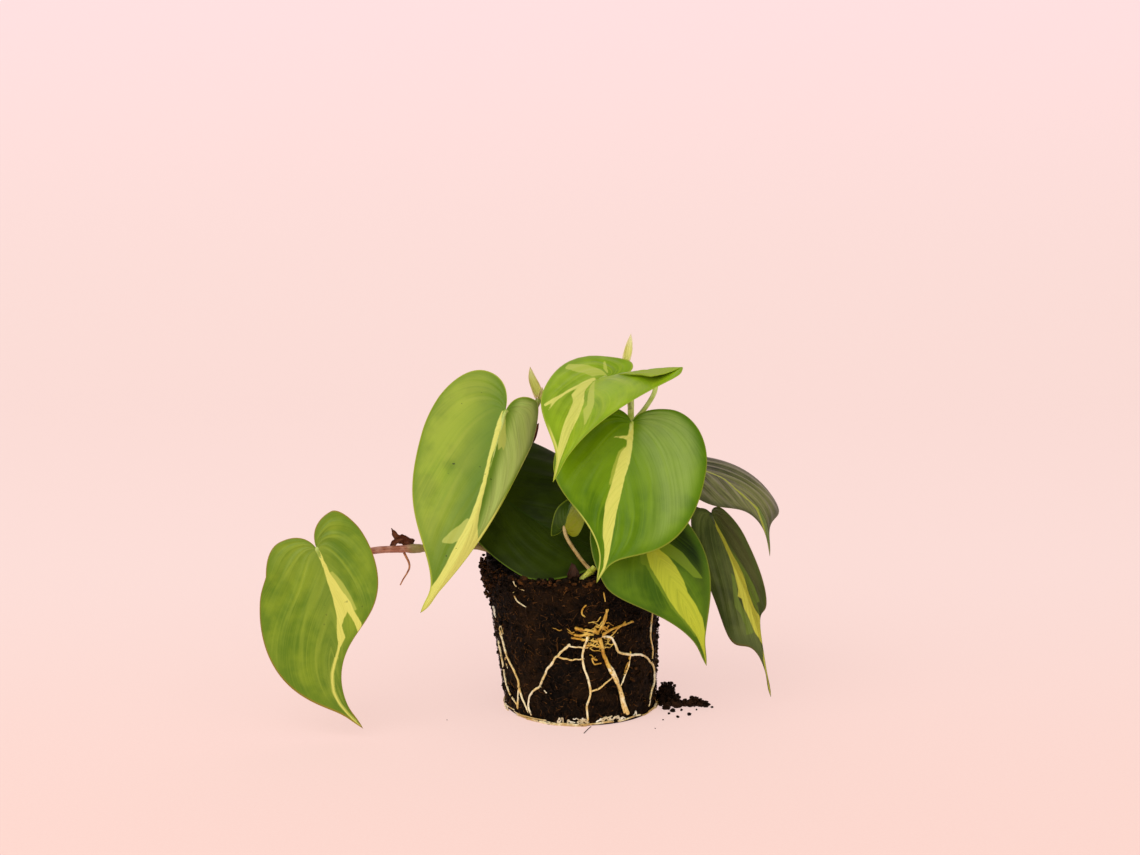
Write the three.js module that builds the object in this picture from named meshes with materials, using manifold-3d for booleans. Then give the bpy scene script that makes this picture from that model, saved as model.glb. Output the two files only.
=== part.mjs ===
import * as THREE from 'three';
import { mergeVertices } from 'three/addons/utils/BufferGeometryUtils.js';
import Module from 'manifold-3d';

// A heartleaf philodendron lifted out of its pot, standing on its moulded root ball.
// Millimetres, Z up, the front towards -Y. The origin is the middle of the ball's foot, on the floor.

const wasm = await Module();
wasm.setup();

// The root ball, as a small nursery pot moulded it
const FOOT_RADIUS = 39.8;
const RIM_RADIUS = 46;
const RIM_HEIGHT = 77;
const MOUND_HEIGHT = 80.5; // of the soil in the middle
const LEAN = -4.8; // sideways, of the rim's middle from the foot's middle
const LEFT_BANK = 6.5; // how much higher the soil is piled at the left rim
const SOIL_HOLLOW = 0.3; // how deep the wall's hollows are
const BALL_SIDES = 48;

// Clearances and small sizes
const GAP = 0.3; // between pieces that touch
const BLADE_THICKNESS = 0.8;
const VINE_RADIUS = 1.9;
const PETIOLE_RADIUS = 1.3;
const PETIOLE_BASE_RADIUS = 1.5;
const RIB_END_RADIUS = 0.5;
const RING_ROOT_RADIUS = 1.15;
const BURIED = 0.5; // how much deeper a stem's hole is than the stem

// How finely things are divided
const VEINS_PER_HALF = 15;
const STEPS_ALONG_VEIN = 4;
const STALK_SIDES = 5;
const VINE_SIDES = 8;
const ROOT_SIDES = 4;

const PEAT = new THREE.MeshStandardMaterial({ color: '#2a1c14', roughness: 0.95, metalness: 0 });
const YELLOW_ROOT = new THREE.MeshStandardMaterial({ color: '#c9a24a', roughness: 0.6, metalness: 0 });
const PALE_ROOT = new THREE.MeshStandardMaterial({ color: '#dccf9f', roughness: 0.6, metalness: 0 });
const BROWN_SHEATH = new THREE.MeshStandardMaterial({ color: '#6b3a1c', roughness: 0.8, metalness: 0 });
const PALE_SHEATH = new THREE.MeshStandardMaterial({ color: '#c3c24a', roughness: 0.5, metalness: 0 });
const RED_STEM = new THREE.MeshStandardMaterial({ color: '#7d4a35', roughness: 0.55, metalness: 0 });
const GREEN_STEM = new THREE.MeshStandardMaterial({ color: '#8c9a3a', roughness: 0.5, metalness: 0 });
const leafGreen = (color) => new THREE.MeshStandardMaterial({ color, roughness: 0.45, metalness: 0 });

const vec = (p) => new THREE.Vector3(...p);
const mix = (a, b, t) => a + (b - a) * t;
const radians = THREE.MathUtils.degToRad;

function seeded(seed) {
  let state = seed;
  return () => {
    state = (state * 1664525 + 1013904223) % 4294967296;
    return state / 4294967296;
  };
}

// Solids for joining and cutting

function weld(geometry) {
  const bare = new THREE.BufferGeometry();
  bare.setAttribute('position', geometry.getAttribute('position'));
  if (geometry.index) bare.setIndex(geometry.index);
  return mergeVertices(bare, 1e-4);
}

function toSolid(geometry) {
  const welded = weld(geometry);
  const vertProperties = new Float32Array(welded.getAttribute('position').array);
  const triVerts = new Uint32Array(welded.index.array);
  return new wasm.Manifold(new wasm.Mesh({ numProp: 3, vertProperties, triVerts }));
}

const SLIVER = 0.01; // edges shorter than this are dropped
function toGeometry(solid) {
  const mesh = solid.simplify(SLIVER).getMesh();
  const geometry = new THREE.BufferGeometry();
  geometry.setAttribute('position', new THREE.Float32BufferAttribute(mesh.vertProperties, 3));
  geometry.setIndex(Array.from(mesh.triVerts));
  return geometry;
}

const joined = (solids) => solids.reduce((all, solid) => all.add(solid));
const largestBody = (solid) => solid.decompose().reduce((a, b) => (b.volume() > a.volume() ? b : a));

// A closed limb: a capped cylinder laid along a curve, as thick as radiusAt says and flattened by flat.
function limb(curve, radiusAt, steps, sides, flat = 1) {
  const geometry = new THREE.CylinderGeometry(1, 1, 1, sides, steps);
  const welded = weld(geometry);
  const frames = curve.computeFrenetFrames(steps, false);
  const place = welded.getAttribute('position');
  for (let i = 0; i < place.count; i += 1) {
    const [across, up, out] = [place.getX(i), place.getY(i), place.getZ(i)];
    const t = THREE.MathUtils.clamp(0.5 + up, 0, 1);
    const ring = Math.round(t * steps);
    const at = curve.getPointAt(t)
      .addScaledVector(frames.binormals[ring], across * radiusAt(t))
      .addScaledVector(frames.normals[ring], out * radiusAt(t) * flat);
    place.setXYZ(i, at.x, at.y, at.z);
  }
  return toSolid(welded);
}

const smoothCurve = (points) => new THREE.CatmullRomCurve3(points.map(vec), false, 'centripetal');

// Leaves

// The cubic curve that passes its two inner points a third and two thirds of the way along.
function curveThrough(start, third, twoThirds, end) {
  const [a, b, c, d] = [start, third, twoThirds, end].map(vec);
  const blend = (wa, wb, wc, wd) =>
    a.clone().multiplyScalar(wa).addScaledVector(b, wb).addScaledVector(c, wc).addScaledVector(d, wd);
  const first = blend(-5 / 6, 3, -1.5, 1 / 3);
  const second = blend(1 / 3, -1.5, 3, -5 / 6);
  return new THREE.CubicBezierCurve3(a, first, second, d);
}

// One half of a flat heart, by its distance along the midrib from the sinus and out from it.
// Three curves make it: up to the top of the lobe, out to the widest place, and down to the drip tip.
function heartMargin(length, half) {
  const point = (along, out) => new THREE.Vector2(along, out);
  const { width, lobe, lobeTop, widest, belly, drip } = half;
  const top = point(-lobe, lobeTop * width);
  const wide = point(widest * length, width);
  const rest = length - wide.x;
  const up = new THREE.CubicBezierCurve(
    point(0, 0), point(-0.6 * lobe, 0.02 * width), point(-lobe, 0.4 * top.y), top);
  const round = new THREE.CubicBezierCurve(
    top, point(-lobe, mix(top.y, width, 0.55)), point(mix(wide.x, -lobe, 0.5), width), wide);
  const down = new THREE.CubicBezierCurve(
    wide, point(wide.x + belly * rest, width), point(length - drip * rest, 0.02 * width), point(length, 0));
  return [up, round, down];
}

const LOBE_TOP_VEIN = 0.16; // the shares of the way round a half at which its curves meet
const WIDEST_VEIN = 0.4;
function marginPoint([up, round, down], vein) {
  if (vein < LOBE_TOP_VEIN) return up.getPoint(vein / LOBE_TOP_VEIN);
  if (vein < WIDEST_VEIN) return round.getPoint((vein - LOBE_TOP_VEIN) / (WIDEST_VEIN - LOBE_TOP_VEIN));
  return down.getPoint((vein - WIDEST_VEIN) / (1 - WIDEST_VEIN));
}

// The first veins all start at the sinus, and the others further and further down the midrib.
const LAST_SINUS_VEIN = 0.3;
const veinFoot = (length, vein) =>
  length * Math.max(0, (vein - LAST_SINUS_VEIN) / (1 - LAST_SINUS_VEIN)) ** 1.2;

// The leaf's form in space. Left and right are as seen from its upper face with the tip down.
function leafForm(leaf) {
  const midrib = curveThrough(leaf.sinus, leaf.third, leaf.twoThirds, leaf.tip);
  const length = midrib.getLength();
  const frameAt = (along) => {
    const t = THREE.MathUtils.clamp(along / length, 0, 1);
    const tangent = midrib.getTangentAt(t);
    const face = vec(leaf.face).normalize().lerp(vec(leaf.faceTip).normalize(), t);
    face.addScaledVector(tangent, -face.dot(tangent)).normalize();
    const across = new THREE.Vector3().crossVectors(face, tangent);
    return { at: midrib.getPointAt(t), tangent, face, across };
  };
  const place = (along, out, side, vein) => {
    const half = side < 0 ? leaf.left : leaf.right;
    const { at, tangent, face, across } = frameAt(along);
    const behind = Math.min(along, 0);
    const lift = half.lobeLift * (behind / half.lobe) ** 2;
    const start = radians(half.fold);
    const bend = radians(half.cup) / half.width;
    const end = start + bend * out;
    const sideways = (Math.sin(end) - Math.sin(start)) / bend;
    const rise = (Math.cos(start) - Math.cos(end)) / bend;
    const ripple = Math.sin(2 * Math.PI * (half.waves * vein + half.phase));
    const wave = half.wave * (out / half.width) ** 2 * ripple;
    return at.clone()
      .addScaledVector(tangent, behind)
      .addScaledVector(across, side * sideways)
      .addScaledVector(face, rise + lift + wave);
  };
  const faceOf = (along, out, side, vein) => {
    if (out < 0.01) return frameAt(along).face;
    const step = 0.4;
    const here = place(along, out, side, vein);
    const further = place(along + step, out, side, vein).sub(here);
    const inner = place(along, out - Math.min(step, out), side, vein).sub(here);
    return new THREE.Vector3().crossVectors(inner, further).multiplyScalar(side).normalize();
  };
  return { midrib, length, frameAt, place, faceOf };
}

// A closed thin solid of the whole blade, with both faces split into the same triangles.
function blade(leaf) {
  const form = leafForm(leaf);
  const margins = { '-1': heartMargin(form.length, leaf.left), 1: heartMargin(form.length, leaf.right) };
  const positions = [];
  const shared = new Map();
  const vertex = (side, i, j) => {
    const vein = i / VEINS_PER_HALF;
    const u = j / STEPS_ALONG_VEIN;
    const edge = marginPoint(margins[side], vein);
    const along = mix(veinFoot(form.length, vein), edge.x, u);
    const out = edge.y * u;
    const onRib = out < 1e-6;
    const key = onRib ? `rib ${along.toFixed(4)}` : `${side} ${i} ${j}`;
    if (!shared.has(key)) {
      const at = form.place(along, out, side, vein);
      const face = form.faceOf(along, onRib ? 0 : out, side, vein).multiplyScalar(BLADE_THICKNESS / 2);
      shared.set(key, positions.length / 6);
      positions.push(...at.clone().add(face).toArray(), ...at.clone().sub(face).toArray());
    }
    return shared.get(key);
  };
  const triangles = [];
  const addTriangle = (a, b, c) => {
    if (a !== b && b !== c && a !== c) triangles.push([a, b, c]);
  };
  for (const side of [-1, 1]) {
    for (let i = 0; i < VEINS_PER_HALF; i += 1) {
      for (let j = 0; j < STEPS_ALONG_VEIN; j += 1) {
        const [a, b] = [vertex(side, i, j), vertex(side, i + 1, j)];
        const [c, d] = [vertex(side, i + 1, j + 1), vertex(side, i, j + 1)];
        addTriangle(a, side > 0 ? b : c, side > 0 ? c : b);
        addTriangle(a, side > 0 ? c : d, side > 0 ? d : c);
      }
    }
  }
  const index = [];
  const edges = new Map();
  for (const [a, b, c] of triangles) {
    index.push(2 * a, 2 * b, 2 * c, 2 * a + 1, 2 * c + 1, 2 * b + 1);
    for (const [p, q] of [[a, b], [b, c], [c, a]]) edges.set(`${p} ${q}`, [p, q]);
  }
  for (const [p, q] of edges.values()) {
    if (!edges.has(`${q} ${p}`)) index.push(2 * p, 2 * p + 1, 2 * q + 1, 2 * p, 2 * q + 1, 2 * q);
  }
  const geometry = new THREE.BufferGeometry();
  geometry.setAttribute('position', new THREE.Float32BufferAttribute(positions, 3));
  geometry.setIndex(index);
  return toSolid(geometry);
}

// The petiole from its vine to the sinus, and on as the start of the rib under the blade.
function stalk(leaf) {
  const form = leafForm(leaf);
  const ribPoints = [[0.07, 1], [0.15, 0.7]].map(([share, below]) => {
    const { at, face } = form.frameAt(share * form.length);
    return at.addScaledVector(face, -below).toArray();
  });
  const curve = smoothCurve([...leaf.petiole, leaf.sinus, ...ribPoints]);
  const petioleShare = smoothCurve([...leaf.petiole, leaf.sinus]).getLength() / curve.getLength();
  const radiusAt = (t) => {
    if (t < 0.1) return mix(PETIOLE_BASE_RADIUS, PETIOLE_RADIUS, t / 0.1);
    if (t < petioleShare) return PETIOLE_RADIUS;
    return mix(PETIOLE_RADIUS, RIB_END_RADIUS, (t - petioleShare) / (1 - petioleShare));
  };
  return limb(curve, radiusAt, 14, STALK_SIDES);
}

const HALF = { width: 36, lobe: 18, lobeTop: 0.45, widest: 0.22, belly: 0.45, drip: 0.35,
  fold: 8, cup: -10, lobeLift: 0, wave: 0.8, waves: 2, phase: 0 };
const LEAVES = [
  { name: 'leaf_far_left', color: '#819327',
    petiole: [[-118, -35.5, 90], [-121, -33, 97], [-128, -36, 101.5]],
    sinus: [-134, -46, 95.5], third: [-127, -52, 66], twoThirds: [-126, -56, 36.5], tip: [-111, -59, 5],
    face: [-0.1, -0.95, 0.25], faceTip: [-0.1, -1, 0.1],
    left: { ...HALF, width: 36.5, lobe: 12, lobeTop: 0.42, widest: 0.34, belly: 0.6 },
    right: { ...HALF, width: 26, lobe: 13.5, lobeTop: 0.6, widest: 0.16, belly: 0.32, drip: 0.7 } },
  { name: 'leaf_big_left', color: '#a0b446',
    petiole: [[-29, 26.6, 142], [-29.3, 16, 152], [-32.5, -6, 160.5]],
    sinus: [-39, -22, 162], third: [-48, -40, 131.5], twoThirds: [-59, -55, 100.5], tip: [-81, -62, 66.5],
    face: [-0.25, -0.9, 0.4], faceTip: [-0.2, -0.9, 0.3],
    left: { ...HALF, width: 39.8, lobe: 19, lobeTop: 0.42, widest: 0.16, belly: 0.72, drip: 0.3 },
    right: { ...HALF, width: 24, lobe: 14, lobeTop: 0.7, widest: 0.06, fold: -45, cup: -30, belly: 0.12 } },
  { name: 'leaf_top', color: '#a5c030',
    petiole: [[26.4, 24.5, 155], [24, 16, 166], [18, 8, 172.4]],
    sinus: [12.5, 4, 175.3], third: [2, -13, 169.8], twoThirds: [-5.5, -38, 154], tip: [-14.5, -50, 131],
    face: [0.1, -0.4, 0.9], faceTip: [0, -0.9, 0.3],
    left: { ...HALF, width: 20.5, lobe: 19.5, lobeTop: 0.5, widest: 0.37, belly: 0.5, drip: 0.4, fold: 13 },
    right: { ...HALF, width: 56, lobe: 14, lobeTop: 0.6, widest: 0.26, belly: 0.28, drip: 0.66, fold: 40,
      cup: -14, lobeLift: -2 } },
  { name: 'leaf_centre', color: '#648c14',
    petiole: [[26.3, 25, 162], [32, 19, 169], [38.5, 10, 171], [38.4, 4, 168.2], [33, -10, 161.8]],
    sinus: [25.5, -24, 156], third: [21, -37, 129.5], twoThirds: [15, -46.5, 104], tip: [7.5, -52.5, 79.4],
    face: [0, -0.9, 0.4], faceTip: [-0.1, -0.95, 0.2],
    left: { ...HALF, width: 36.5, lobe: 8, widest: 0.3, belly: 0.42, drip: 0.55 },
    right: { ...HALF, width: 41, lobe: 9.5, belly: 0.88, drip: 0.42 } },
  { name: 'leaf_back', color: '#19230a',
    petiole: [[-20, 22.3, 92], [-36, 25.5, 107], [-52, 19, 120], [-57.5, 8.5, 125.3]],
    sinus: [-53.5, 0, 122.5], third: [-32, -12, 108], twoThirds: [-5.5, -21, 94], tip: [22, -25, 82.5],
    face: [0, -0.75, 0.65], faceTip: [0, -0.75, 0.65],
    left: { ...HALF, width: 32.5, lobe: 2, lobeTop: 0.3, widest: 0.54, fold: 13, belly: 0.45, drip: 0.3 },
    right: { ...HALF, width: 46, lobe: 18, widest: 0.45, belly: 0.5, cup: -40 } },
  { name: 'leaf_low_right', color: '#4b7312',
    petiole: [[33.5, 6.5, 96], [32, -4, 103], [31, -17, 105]],
    sinus: [30, -28, 102.6], third: [43, -37, 83], twoThirds: [54.5, -43, 61.6], tip: [64, -45, 33.8],
    face: [0.1, -0.9, 0.4], faceTip: [0.1, -0.9, 0.2],
    left: { ...HALF, width: 33, lobe: 16, fold: 16, belly: 0.25, drip: 0.45 },
    right: { ...HALF, width: 23, lobe: 16 } },
  { name: 'leaf_right_hanging', color: '#3c4b32',
    petiole: [[47, 15.8, 111.7], [56, 15, 105], [64, 9, 103]],
    sinus: [68.8, 0, 102.7], third: [80.3, -4, 77], twoThirds: [90.4, -6, 51.8], tip: [100.9, -6, 5],
    face: [-0.6, -0.75, 0.2], faceTip: [-0.5, -0.8, 0.1],
    left: { ...HALF, width: 19.5, lobe: 6, lobeTop: 0.4, fold: 10, widest: 0.47, belly: 0.88, drip: 0.98 },
    right: { ...HALF, width: 20, lobe: 4, lobeTop: 0.4, widest: 0.16, fold: 30, belly: 0.8, drip: 0.95 } },
  { name: 'leaf_right_upper', color: '#4b553c',
    petiole: [[40, 11, 105], [43, 22, 118], [49, 27, 125]],
    sinus: [57, 24, 124], third: [79, 14, 116.5], twoThirds: [94, 8, 101], tip: [100, 4, 79.5],
    face: [0.1, -0.25, 0.95], faceTip: [0.8, -0.5, 0.2],
    left: { ...HALF, width: 26.5, lobe: 10, widest: 0.28, fold: 3, belly: 0.47, drip: 0.8 },
    right: { ...HALF, width: 30, lobe: 16, widest: 0.6, fold: -4, belly: 0.72, drip: 0.98 } },
  { name: 'leaf_young', color: '#7c8f22',
    petiole: [[4.8, -36.2, 82], [1.3, -35, 85.5], [-4.4, -33, 93], [-8, -31, 99]],
    sinus: [-9, -30, 103.5], third: [-7.8, -31, 109], twoThirds: [-6.2, -30, 115], tip: [-4.4, -28, 121],
    face: [-0.1, -0.95, 0.1], faceTip: [0, -0.95, -0.2],
    left: { ...HALF, width: 11, lobe: 3, widest: 0.35, fold: 20, cup: 15, wave: 0.3 },
    right: { ...HALF, width: 7, lobe: 6, lobeTop: 0.8, widest: 0.3, fold: 20, cup: 15, wave: 0.3 } },
];

// Vines: the stems, each from its hole in the soil, as points and the share of the way where its nodes are.

const VINES = {
  vine_left: { color: RED_STEM, radius: VINE_RADIUS, nodes: [0.62, 0.95],
    points: [[-33, -8, 68], [-43, -13, 84], [-53, -17, 90], [-72, -20, 90], [-92, -24, 90.3],
      [-106, -30, 91], [-119, -36, 89.5]] },
  vine_back: { color: GREEN_STEM, radius: 1.7, nodes: [0.3, 0.72],
    points: [[-15, 17, 68], [-16.5, 19, 82], [-24, 26, 107], [-29.5, 28, 130], [-28.8, 26, 145],
      [-22.4, 18, 161.6]] },
  vine_centre: { color: GREEN_STEM, radius: 1.7, nodes: [0.35, 0.82],
    points: [[20, 14, 68], [21, 15, 82], [24, 20, 115], [26.5, 24, 150], [25.5, 26, 172],
      [23.4, 26, 178.6]] },
  vine_right: { color: GREEN_STEM, radius: 1.7, nodes: [0.45, 0.8],
    points: [[25, 0, 68], [27, 2, 80], [34, 7, 97], [44, 14, 110], [54, 20, 116]] },
  vine_young: { color: PALE_SHEATH, radius: 1.6, nodes: [0.85],
    points: [[-6, -36, 67], [-2, -37, 75], [2, -37, 79], [7, -35.5, 83.5]] },
};

function vineSolid({ points, radius, nodes }, extra = 0, deeper = 0) {
  const line = points.map(vec);
  const start = line[0].clone().addScaledVector(line[0].clone().sub(line[1]).normalize(), deeper);
  const curve = smoothCurve([start.toArray(), ...points.slice(1)]);
  const radiusAt = (t) => {
    const swelling = Math.max(...nodes.map((node) => Math.exp(-(((t - node) / 0.035) ** 2))));
    return radius + extra + 0.5 * swelling;
  };
  return limb(curve, radiusAt, 24, VINE_SIDES);
}

const vines = new Map(Object.entries(VINES).map(([name, vine]) => [name, vineSolid(vine)]));
const vineRoom = joined(Object.values(VINES).map((vine) => vineSolid(vine, GAP, BURIED)));

// Young leaf sheaths, pale or dried, as pointed flattened limbs

const SHEATHS = {
  sheath_left: { color: PALE_SHEATH, width: 2.1, flat: 0.6,
    points: [[-22.4, 18, 162.4], [-23.4, 18, 166.4], [-25.9, 18, 172.9], [-27, 18, 178.8]] },
  sheath_top: { color: PALE_SHEATH, width: 2.3, flat: 0.6,
    points: [[23.3, 26, 179.3], [24.4, 26, 183.6], [25.6, 26, 189.5], [26.4, 26, 195.3]] },
  sheath_dead: { color: BROWN_SHEATH, width: 2.0, flat: 0.45,
    points: [[-87, -22, 93], [-91.5, -22.5, 94.6], [-95, -24, 96.5], [-98, -24.5, 101.5]] },
  sheath_soil: { color: BROWN_SHEATH, width: 3, flat: 0.4,
    points: [[-3.5, -38.8, 78], [-4, -39.6, 80], [-4.4, -39.2, 83], [-5, -37.8, 86.5]] },
};

function sheathSolid({ points, width, flat }) {
  const radiusAt = (t) => Math.max(0.3, width * Math.sin(Math.PI * Math.min(1, 0.25 + 0.8 * t)) ** 0.8);
  return limb(smoothCurve(points), radiusAt, 8, STALK_SIDES, flat);
}

// The root ball

const wallRadius = (height) => mix(FOOT_RADIUS, RIM_RADIUS, height / RIM_HEIGHT);
const wallShift = (height) => (LEAN * height) / RIM_HEIGHT;

function sheared(geometry) {
  const welded = weld(geometry);
  const place = welded.getAttribute('position');
  for (let i = 0; i < place.count; i += 1) place.setX(i, place.getX(i) + wallShift(place.getZ(i)));
  return welded;
}

// A point on the wall by the degrees round from the front, rightwards, and the height.
function onWall(degrees, height, out = 0) {
  const radius = wallRadius(height) + out;
  const turn = radians(degrees);
  return [wallShift(height) + radius * Math.sin(turn), -radius * Math.cos(turn), height];
}

function ballSolid() {
  const wall = [8, 18, 28, 38, 48, 58, 68, 74].map((height) => [wallRadius(height), height]);
  const profile = [[0, 0], [FOOT_RADIUS, 0], ...wall,
    [RIM_RADIUS - 1.2, RIM_HEIGHT], [36, 78], [20, 79.5], [0, MOUND_HEIGHT]];
  const lathe = new THREE.LatheGeometry(profile.map((p) => new THREE.Vector2(...p)), BALL_SIDES);
  lathe.rotateX(Math.PI / 2);
  const ball = weld(lathe);
  const place = ball.getAttribute('position');
  for (let i = 0; i < place.count; i += 1) {
    const [x, y, z] = [place.getX(i), place.getY(i), place.getZ(i)];
    const radius = Math.hypot(x, y);
    const turn = Math.atan2(x, -y);
    const held = THREE.MathUtils.smoothstep(z, 8, 20) * THREE.MathUtils.smoothstep(radius, 5, 20);
    const hollow = SOIL_HOLLOW * held * (2 + Math.sin(5 * turn + z / 7) + Math.sin(9 * turn - z / 4)) / 2;
    const grow = radius > 0 ? (radius - hollow) / radius : 1;
    const leftness = Math.max(0, -Math.sin(turn + 0.2)) ** 3;
    const bank = LEFT_BANK * leftness * THREE.MathUtils.smoothstep(z, 60, 78)
      * THREE.MathUtils.smoothstep(radius, 10, 40);
    place.setXYZ(i, x * grow + wallShift(z), y * grow, z + bank);
  }
  return toSolid(ball);
}

// Roots on the wall, each by its degrees round from the front and its height

const FRONT_ROOTS = [
  { radius: 1.4, end: 0.9, path: [[16, 51], [18, 43], [20, 35], [24, 28], [31, 20], [34, 11], [38, 4]] },
  { radius: 0.8, path: [[-1, 50], [9, 50], [17, 48]] },
  { radius: 0.6, path: [[0, 54], [16, 51.5], [20, 59], [23, 63]] },
  { radius: 0.8, path: [[17, 49], [25, 52], [35, 53.5], [43, 54]] },
  { radius: 0.6, path: [[5, 44], [18, 43]] },
  { radius: 0.8,
    path: [[-4, 45], [-14, 38], [-20, 32], [-25, 26], [-29, 21], [-39, 14], [-42, 8], [-40, 3]] },
  { radius: 0.75, path: [[8, 49], [4, 40], [4, 35], [7, 25], [8, 18], [5, 11], [5, 3]] },
  { radius: 0.6, path: [[-14, 38], [-4, 36.5], [5, 37]] },
  { radius: 0.6, path: [[8, 19], [16, 21], [25, 26]] },
  { radius: 0.8,
    path: [[17, 49], [25, 47], [30, 39], [41, 36], [53, 34], [61, 30], [72, 22], [73, 16], [67, 11],
      [62, 4]] },
  { radius: 0.6, path: [[40, 36], [37, 29], [31, 20]] },
];
const LEFT_ROOTS = [
  { radius: 0.75, path: [[-66, 44], [-63, 40], [-60, 32], [-53, 26], [-49, 20], [-52, 12], [-55, 4]] },
  { radius: 0.7, path: [[-50, 18], [-47, 11], [-42.5, 4]] },
  { radius: 0.7, path: [[-73, 38], [-70, 28], [-69, 15], [-55, 6]] },
];
const RIGHT_ROOT = [{ radius: 0.6, path: [[66, 57], [64, 48], [64, 41], [68, 34]] }];
const BACK_ROOTS = [
  { radius: 0.9, path: [[152, 68], [158, 52], [150, 36], [163, 20], [170, 4]] },
  { radius: 0.8, path: [[158, 52], [175, 44], [190, 30], [202, 16], [197, 4]] },
  { radius: 0.7, path: [[205, 62], [208, 46], [190, 30]] },
  { radius: 0.7, path: [[150, 36], [136, 26], [126, 12], [130, 4]] },
  { radius: 0.7, path: [[202, 16], [220, 20], [236, 12], [240, 4]] },
];
const RING_ROOT = [{ radius: RING_ROOT_RADIUS, steps: 48,
  path: [...Array(24).keys()].map((i) => [-82 + 15 * i, 1.6]) }];

const ROOT_STANDS_OUT = 0.35; // from the wall to a root's middle
function rootSolid(roots, extra = 0) {
  return joined(roots.map(({ radius, end = radius * 0.8, path, steps = 2 * path.length }) => {
    const curve = smoothCurve(path.map(([turn, height]) => onWall(turn, height, ROOT_STANDS_OUT)));
    return limb(curve, (t) => mix(radius, end, t) + extra, steps, ROOT_SIDES);
  }));
}

// Soil fallen from the ball: lumps sunk in each other, flat where they lie on the floor

function crumbPile(seed, lumps) {
  const random = seeded(seed);
  const floor = new THREE.BoxGeometry(200, 200, 40).translate(0, 0, 20);
  return joined(lumps.map(([x, y, z, radius]) => {
    const lump = new THREE.IcosahedronGeometry(radius, 1);
    lump.scale(mix(0.85, 1.15, random()), mix(0.85, 1.15, random()), mix(0.7, 1, random()));
    lump.rotateZ(2 * Math.PI * random());
    return toSolid(lump.translate(x, y, z));
  })).intersect(toSolid(floor));
}
const HEAP = [[43.5, -1, 3, 5], [45, -5, 3, 4.5], [46, 0, 7.5, 4.6], [49, -3, 3, 4.5], [50, -8, 2, 3.2],
  [47.5, 3.5, 2.5, 4], [45, -11, 1.6, 2.6]];
const CLUMP = [[55, -5.5, 1.2, 2.4], [58.5, -6.5, 1.8, 2.6], [60, -5, 3, 2.8], [63.5, -6, 1.7, 2.4],
  [66.5, -6.5, 0.8, 1.7]];

// Everything as named pieces

const plant = new THREE.Group();
function addPiece(name, solid, material) {
  const mesh = new THREE.Mesh(toGeometry(solid), material);
  mesh.name = name;
  plant.add(mesh);
}

const wall = [[0, -1], [wallRadius(-1) + GAP, -1], [wallRadius(0) + GAP, 0],
  [RIM_RADIUS + GAP, RIM_HEIGHT], [0, RIM_HEIGHT]].map((p) => new THREE.Vector2(...p));
const ballRoom = toSolid(sheared(new THREE.LatheGeometry(wall, BALL_SIDES).rotateX(Math.PI / 2)));
const ring = rootSolid(RING_ROOT).subtract(ballRoom);
const ringRoom = rootSolid(RING_ROOT, GAP);
const rootNets = {
  roots_front: FRONT_ROOTS, roots_left: LEFT_ROOTS, root_right: RIGHT_ROOT, roots_back: BACK_ROOTS };
const { sheath_soil: soilSheath } = SHEATHS;
const soilSheathRoom = sheathSolid({
  ...soilSheath, width: soilSheath.width + GAP, flat: soilSheath.flat + 0.2 });

addPiece('root_ball', largestBody(ballSolid().subtract(joined([vineRoom, soilSheathRoom]))), PEAT);
addPiece('root_ring', ring, PALE_ROOT);
for (const [name, roots] of Object.entries(rootNets)) {
  const color = name === 'roots_front' ? YELLOW_ROOT : PALE_ROOT;
  addPiece(name, rootSolid(roots).subtract(joined([ringRoom, ballRoom])), color);
}
addPiece('soil_heap', crumbPile(3, HEAP).subtract(joined([ballRoom, ringRoom])), PEAT);
addPiece('soil_clump', crumbPile(8, CLUMP), PEAT);
for (const [name, solid] of vines) addPiece(name, solid, VINES[name].color);
for (const [name, sheath] of Object.entries(SHEATHS)) {
  addPiece(name, sheathSolid(sheath).subtract(vineRoom), sheath.color);
}
const aerial = smoothCurve([[-91.5, -24.5, 87.6], [-88.9, -24.5, 82], [-90.8, -24, 77.5], [-94, -24, 71]]);
addPiece('root_aerial', limb(aerial, (t) => mix(0.7, 0.45, t), 8, ROOT_SIDES), YELLOW_ROOT);
for (const leaf of LEAVES) {
  addPiece(leaf.name, largestBody(blade(leaf).add(stalk(leaf)).subtract(vineRoom)), leafGreen(leaf.color));
}

export default plant;
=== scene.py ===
# %% [markdown]
# # A striped heartleaf philodendron on its bare root ball
#
# The plant is a young climbing philodendron. Its heart-shaped leaves are green with a lime stripe
# along the midrib. It stands without a pot: the peat keeps the pot's shape, and the roots that grew
# against the pot's wall lie in plain sight. We will dress a finished set of solids with soft, real
# looking pieces: thin leaves, fibrous peat, glossy roots and a few fallen crumbs.
#
# All lengths in the tables below are millimetres. X points right, Y away from the viewer and Z up.

# %% Load the fixed frame of solids
import math

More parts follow.
